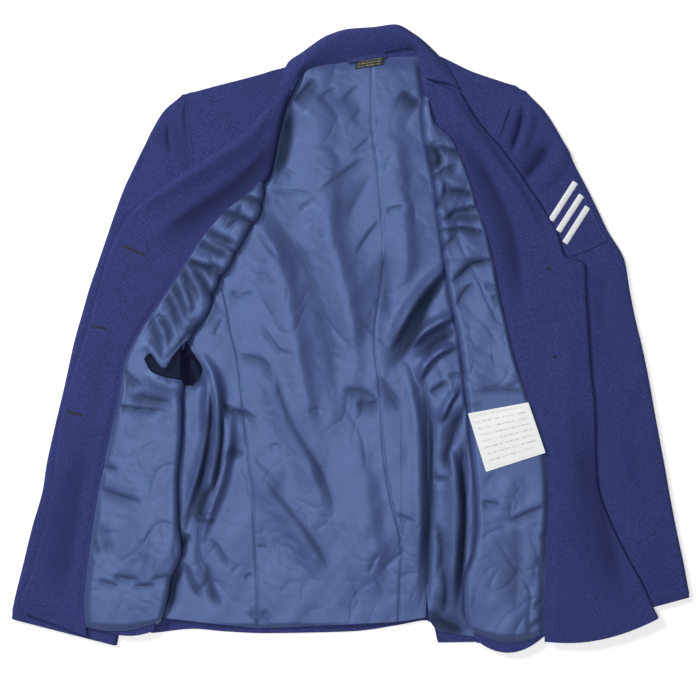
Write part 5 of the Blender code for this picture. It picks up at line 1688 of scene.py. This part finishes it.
def stitch_tree():
    """Node tree that lays small thread capsules along the lines of a mesh."""
    if "stitches" in bpy.data.node_groups:
        return bpy.data.node_groups["stitches"]
    tree = bpy.data.node_groups.new("stitches", "GeometryNodeTree")
    for name, kind in (("Lines", "Geometry"), ("Spacing", "Float"), ("Length", "Float"),
                       ("Thickness", "Float"), ("Turn", "Float"), ("Jitter", "Float"), ("Seed", "Int"),
                       ("Finish", "Material")):
        tree.interface.new_socket(name, in_out="INPUT", socket_type=f"NodeSocket{kind}")
    tree.interface.new_socket("Thread", in_out="OUTPUT", socket_type="NodeSocketGeometry")
    given = tree.nodes.new("NodeGroupInput").outputs

    def add(kind, settings=None, **values):
        made = tree.nodes.new(kind)
        for name, value in (settings or {}).items():
            setattr(made, name, value)
        for name, value in values.items():
            label = name.replace("_", " ")
            feed(tree, next(item for item in made.inputs if item.name == label and item.enabled), value)
        return next(item for item in made.outputs if item.enabled)

    def math_of(operation, first, second):
        made = tree.nodes.new("ShaderNodeMath")
        made.operation = operation
        feed(tree, made.inputs[0], first)
        feed(tree, made.inputs[1], second)
        return made.outputs[0]

    half_length = math_of("MULTIPLY", given["Length"], 0.5)
    half_thickness = math_of("MULTIPLY", given["Thickness"], 0.5)
    size = add("ShaderNodeCombineXYZ", X=half_length, Y=half_thickness, Z=half_thickness)
    curve = add("GeometryNodeMeshToCurve", Mesh=given["Lines"])
    stations = add("GeometryNodeResampleCurve", {"mode": "LENGTH"}, Curve=curve, Length=given["Spacing"])
    along = add("FunctionNodeAlignRotationToVector", {"axis": "X"}, Vector=add("GeometryNodeInputTangent"))
    spread = add("FunctionNodeRandomValue", {"data_type": "FLOAT"}, Min=-1.0, Max=1.0, Seed=given["Seed"])
    turned = math_of("ADD", given["Turn"], math_of("MULTIPLY", spread, given["Jitter"]))
    facing = add("FunctionNodeRotateRotation", {"rotation_space": "LOCAL"}, Rotation=along,
                 Rotate_By=add("FunctionNodeEulerToRotation", Euler=add("ShaderNodeCombineXYZ", Z=turned)))
    bead = add("GeometryNodeMeshUVSphere", Segments=STITCH_SIDES, Rings=STITCH_RINGS, Radius=1.0)
    laid = add("GeometryNodeInstanceOnPoints", Points=stations, Instance=bead, Rotation=facing, Scale=size)
    solid = add("GeometryNodeRealizeInstances", Geometry=laid)
    smooth = add("GeometryNodeSetShadeSmooth", Geometry=solid)
    finished = add("GeometryNodeSetMaterial", Geometry=smooth, Material=given["Finish"])
    feed(tree, tree.nodes.new("NodeGroupOutput").inputs["Thread"], finished)
    return tree


def add_stitches(name, lines, finish, spacing, length, thickness, turn=0.0, jitter=0.06, seed=7):
    """Rows of stitches along lines of points, as one plain mesh."""
    points = np.concatenate(lines)
    points[:, 1] -= OUTLINE_MIDDLE_Y
    edges, first = [], 0
    for line in lines:
        edges += [(first + step, first + step + 1) for step in range(len(line) - 1)]
        first += len(line)
    rail = bpy.data.meshes.new(f"{name}_rail")
    rail.from_pydata((points * MM).tolist(), edges, [])
    piece = link(name, rail)
    tree = stitch_tree()
    modifier = piece.modifiers.new("stitches", "NODES")
    modifier.node_group = tree
    values = {"Spacing": spacing * MM, "Length": length * MM, "Thickness": thickness * MM,
              "Turn": math.radians(turn), "Jitter": jitter, "Seed": seed, "Finish": finish_of(finish)}
    for item in tree.interface.items_tree:
        if item.in_out == "INPUT" and item.name in values:
            modifier[item.identifier] = values[item.name]
    bpy.context.view_layer.update()
    made = bpy.data.meshes.new_from_object(piece.evaluated_get(bpy.context.evaluated_depsgraph_get()))
    piece.modifiers.remove(modifier)
    piece.data = made
    bpy.data.meshes.remove(rail)
    made.materials.clear()
    made.materials.append(finish_of(finish))
    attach(piece, "root")


def on_facing(plan, side, rise=THREAD_RISE):
    """Points of the plan, a little over the upper side of a facing."""
    plan = np.asarray(plan, float)
    x, y = plan_of(plan)
    top = FACING + WOOL / 2 + FACING_EASE + crease_shape(x, y, FACING_CREASES[side])[0]
    return lift(plan, top + ripple_height(x, y, WOOL_RIPPLES) + rise)


def ring(centre, radius):
    angle = np.linspace(0, 2 * np.pi, EYE_POINTS)
    return np.asarray(centre) + radius * np.stack([np.cos(angle), np.sin(angle)], axis=1)


def make_buttonholes():
    """Keyhole buttonholes of the right front and the worked eyelets of the left."""
    lips, slits = [], []
    for start, end in BUTTONHOLES:
        line = resample(from_photo((start, end)), 1.0)
        run = unit(line[-1:] - line[:1])[0]
        aside = np.array([-run[1], run[0]]) * LIP_OFFSET
        eye = ring(line[0] - run * EYE_RADIUS, EYE_RADIUS)
        lips += [on_facing(lip, "r") for lip in (line + aside, line - aside, eye)]
        slits.append(on_facing(np.vstack([line[:1] - run * EYE_RADIUS, line]), "r", SLIT_RISE))
    for centre in from_photo(EYELETS):
        lips.append(on_facing(ring(centre, EYE_RADIUS), "l"))
        slits.append(on_facing(ring(centre, EYE_RADIUS * EYELET_HOLE), "l", EYELET_RISE))
    add_stitches("buttonhole_purls", lips, "thread",
                 spacing=0.62, length=2.0, thickness=0.62, turn=90.0)
    add_stitches("buttonhole_slits", slits, "black_thread",
                 spacing=0.7, length=1.5, thickness=0.8)


def inner_ring(grid, inset, rise):
    """Closed line on a grid of points, so many cells in from its edge and a little over it."""
    part = grid[inset:-inset, inset:-inset] + np.array((0, 0, rise))
    return np.concatenate([part[0], part[1:, -1], part[-1, -2::-1], part[-2::-1, 0]])


def make_label_stitches():
    """Stitches round the care label and the patch."""
    round_label = inner_ring(care_label_grid(), 1, LABEL_THREAD_RISE)
    add_stitches("care_label_stitches", [round_label], "white_thread",
                 spacing=2.6, length=1.8, thickness=0.4)
    round_patch = inner_ring(patch_grid(), 1, LABEL_WALL / 2 + THREAD_RISE)
    add_stitches("patch_stitches", [round_patch], "patch_thread",
                 spacing=2.4, length=1.7, thickness=0.45)


def make_stripe_stitches():
    """Satin stitches laid across each bar."""
    lines = []
    for bar in STRIPES:
        line = resample(np.array(bar, float), 2.0)
        height = patch_height() + LABEL_WALL / 2 + STRIPE_WALL + BAR_THREAD_RISE
        lines.append(lift(line, height + sleeve_height(*plan_of(line))))
    add_stitches("stripe_stitches", lines, "white_stripe",
                 spacing=0.62, length=STRIPE_WIDTH + BAR_THREAD_OVER, thickness=0.66, turn=90.0)


def make_stage():
    """Plain floor, lights, white surroundings and a camera straight above."""
    mesh = bpy.data.meshes.new("floor")
    corners = ((-1, -1), (1, -1), (1, 1), (-1, 1))
    mesh.from_pydata([(x * FLOOR_REACH, y * FLOOR_REACH, 0) for x, y in corners], [], [(0, 1, 2, 3)])
    floor = link("floor", mesh)
    floor.location.z = -FLOOR_DROP
    floor.data.materials.append(plain_finish(
        "floor_paper", bpy.context.scene.jacket_colours.floor, 30.0, 3.0, 0.01, Roughness=0.9,
        Emission_Color=(1.0, 1.0, 1.0, 1.0), Emission_Strength=FLOOR_GLOW))
    world = bpy.data.worlds.new("studio")
    world.use_nodes = True
    world.node_tree.nodes["Background"].inputs["Color"].default_value = (1.0, 1.0, 1.0, 1.0)
    world.node_tree.nodes["Background"].inputs["Strength"].default_value = WORLD_STRENGTH
    bpy.context.scene.world = world
    for name, place, size, power in LIGHTS:
        light = bpy.data.lights.new(name, "AREA")
        light.shape = "SQUARE"
        light.size = size
        light.energy = power
        lamp = link(name, light)
        lamp.location = place
        lamp.rotation_mode = "QUATERNION"
        lamp.rotation_quaternion = (-Vector(place)).to_track_quat("-Z", "Y")
    bpy.context.scene.view_settings.view_transform = "Standard"
    lens = bpy.data.cameras.new("camera")
    lens.lens = CAMERA_LENS
    lens.clip_end = VIEW_END
    camera = link("camera", lens)
    camera.location = CAMERA_PLACE
    bpy.context.scene.camera = camera


def step_operator(name, label, words, action, *choices):
    """Operator class that makes one piece or a group of like pieces, one for each choice."""
    def execute(self, context):
        for choice in choices:
            action(choice)
        if not choices:
            action()
        return {"FINISHED"}
    return type(f"JACKET_OT_{name}", (bpy.types.Operator,), {
        "bl_idname": f"jacket.{name}", "bl_label": label, "__doc__": words, "execute": execute})


STEPS = [
    step_operator("stage", "Stage", "Floor, lights and camera", make_stage),
    step_operator("back", "Back", "Wool back and side pieces",
                  lambda: (make_back_shell(), make_side_shell("r"), make_side_shell("l"))),
    step_operator("sleeves", "Sleeves", "Wool sleeves", make_sleeve, "r", "l"),
    step_operator("back_linings", "Back linings", "Satin of the back", make_back_lining, *BACK_LININGS),
    step_operator("fronts", "Fronts", "Wool fronts under the lining", make_front_shell, "r", "l"),
    step_operator("facings", "Facings", "Wool facings and lapels", make_facing, "r", "l"),
    step_operator("front_linings", "Front linings", "Ruched satin of the turned-back fronts",
                  lambda: (make_front_lining("r"), make_front_lining("l"), make_sleeve_lining())),
    step_operator("collar", "Collar", "Wool collar and the strap at the neck",
                  lambda: (make_collar(), make_hanger_loop())),
    step_operator("labels", "Labels", "Bare neck label and care label",
                  lambda: (make_neck_label(), make_care_label())),
    step_operator("badge", "Badge", "Sleeve patch and its plain bars",
                  lambda: (make_patch(), make_stripes())),
    step_operator("buttons", "Buttons", "Plain buttons under the left front", make_buttons),
    step_operator("buttonholes", "Buttonholes", "Worked buttonholes and eyelets", make_buttonholes),
    step_operator("stitches", "Stitches", "Stitches of the labels, the patch and the bars",
                  lambda: (make_label_stitches(), make_stripe_stitches())),
]


class JACKET_PT_panel(bpy.types.Panel):
    """Sizes, colours and steps of the jacket."""
    bl_label = "Service dress jacket"
    bl_idname = "JACKET_PT_panel"
    bl_space_type = "VIEW_3D"
    bl_region_type = "UI"
    bl_category = "Jacket"

    def draw(self, context):
        for group in (context.scene.jacket_sizes, context.scene.jacket_colours):
            box = self.layout.box()
            for name in group.bl_rna.properties.keys():
                if name not in {"rna_type", "name"}:
                    box.prop(group, name)
        for step in STEPS:
            self.layout.operator(step.bl_idname)


CLASSES = [JacketSizes, JacketColours, *STEPS, JACKET_PT_panel]


def register():
    for item in CLASSES:
        bpy.utils.register_class(item)
    bpy.types.Scene.jacket_sizes = bpy.props.PointerProperty(type=JacketSizes)
    bpy.types.Scene.jacket_colours = bpy.props.PointerProperty(type=JacketColours)


def unregister():
    del bpy.types.Scene.jacket_sizes
    del bpy.types.Scene.jacket_colours
    for item in reversed(CLASSES):
        bpy.utils.unregister_class(item)


def main():
    register()
    for step in STEPS:
        getattr(bpy.ops.jacket, step.bl_idname.split(".")[1])()


if __name__ == "__main__":
    main()
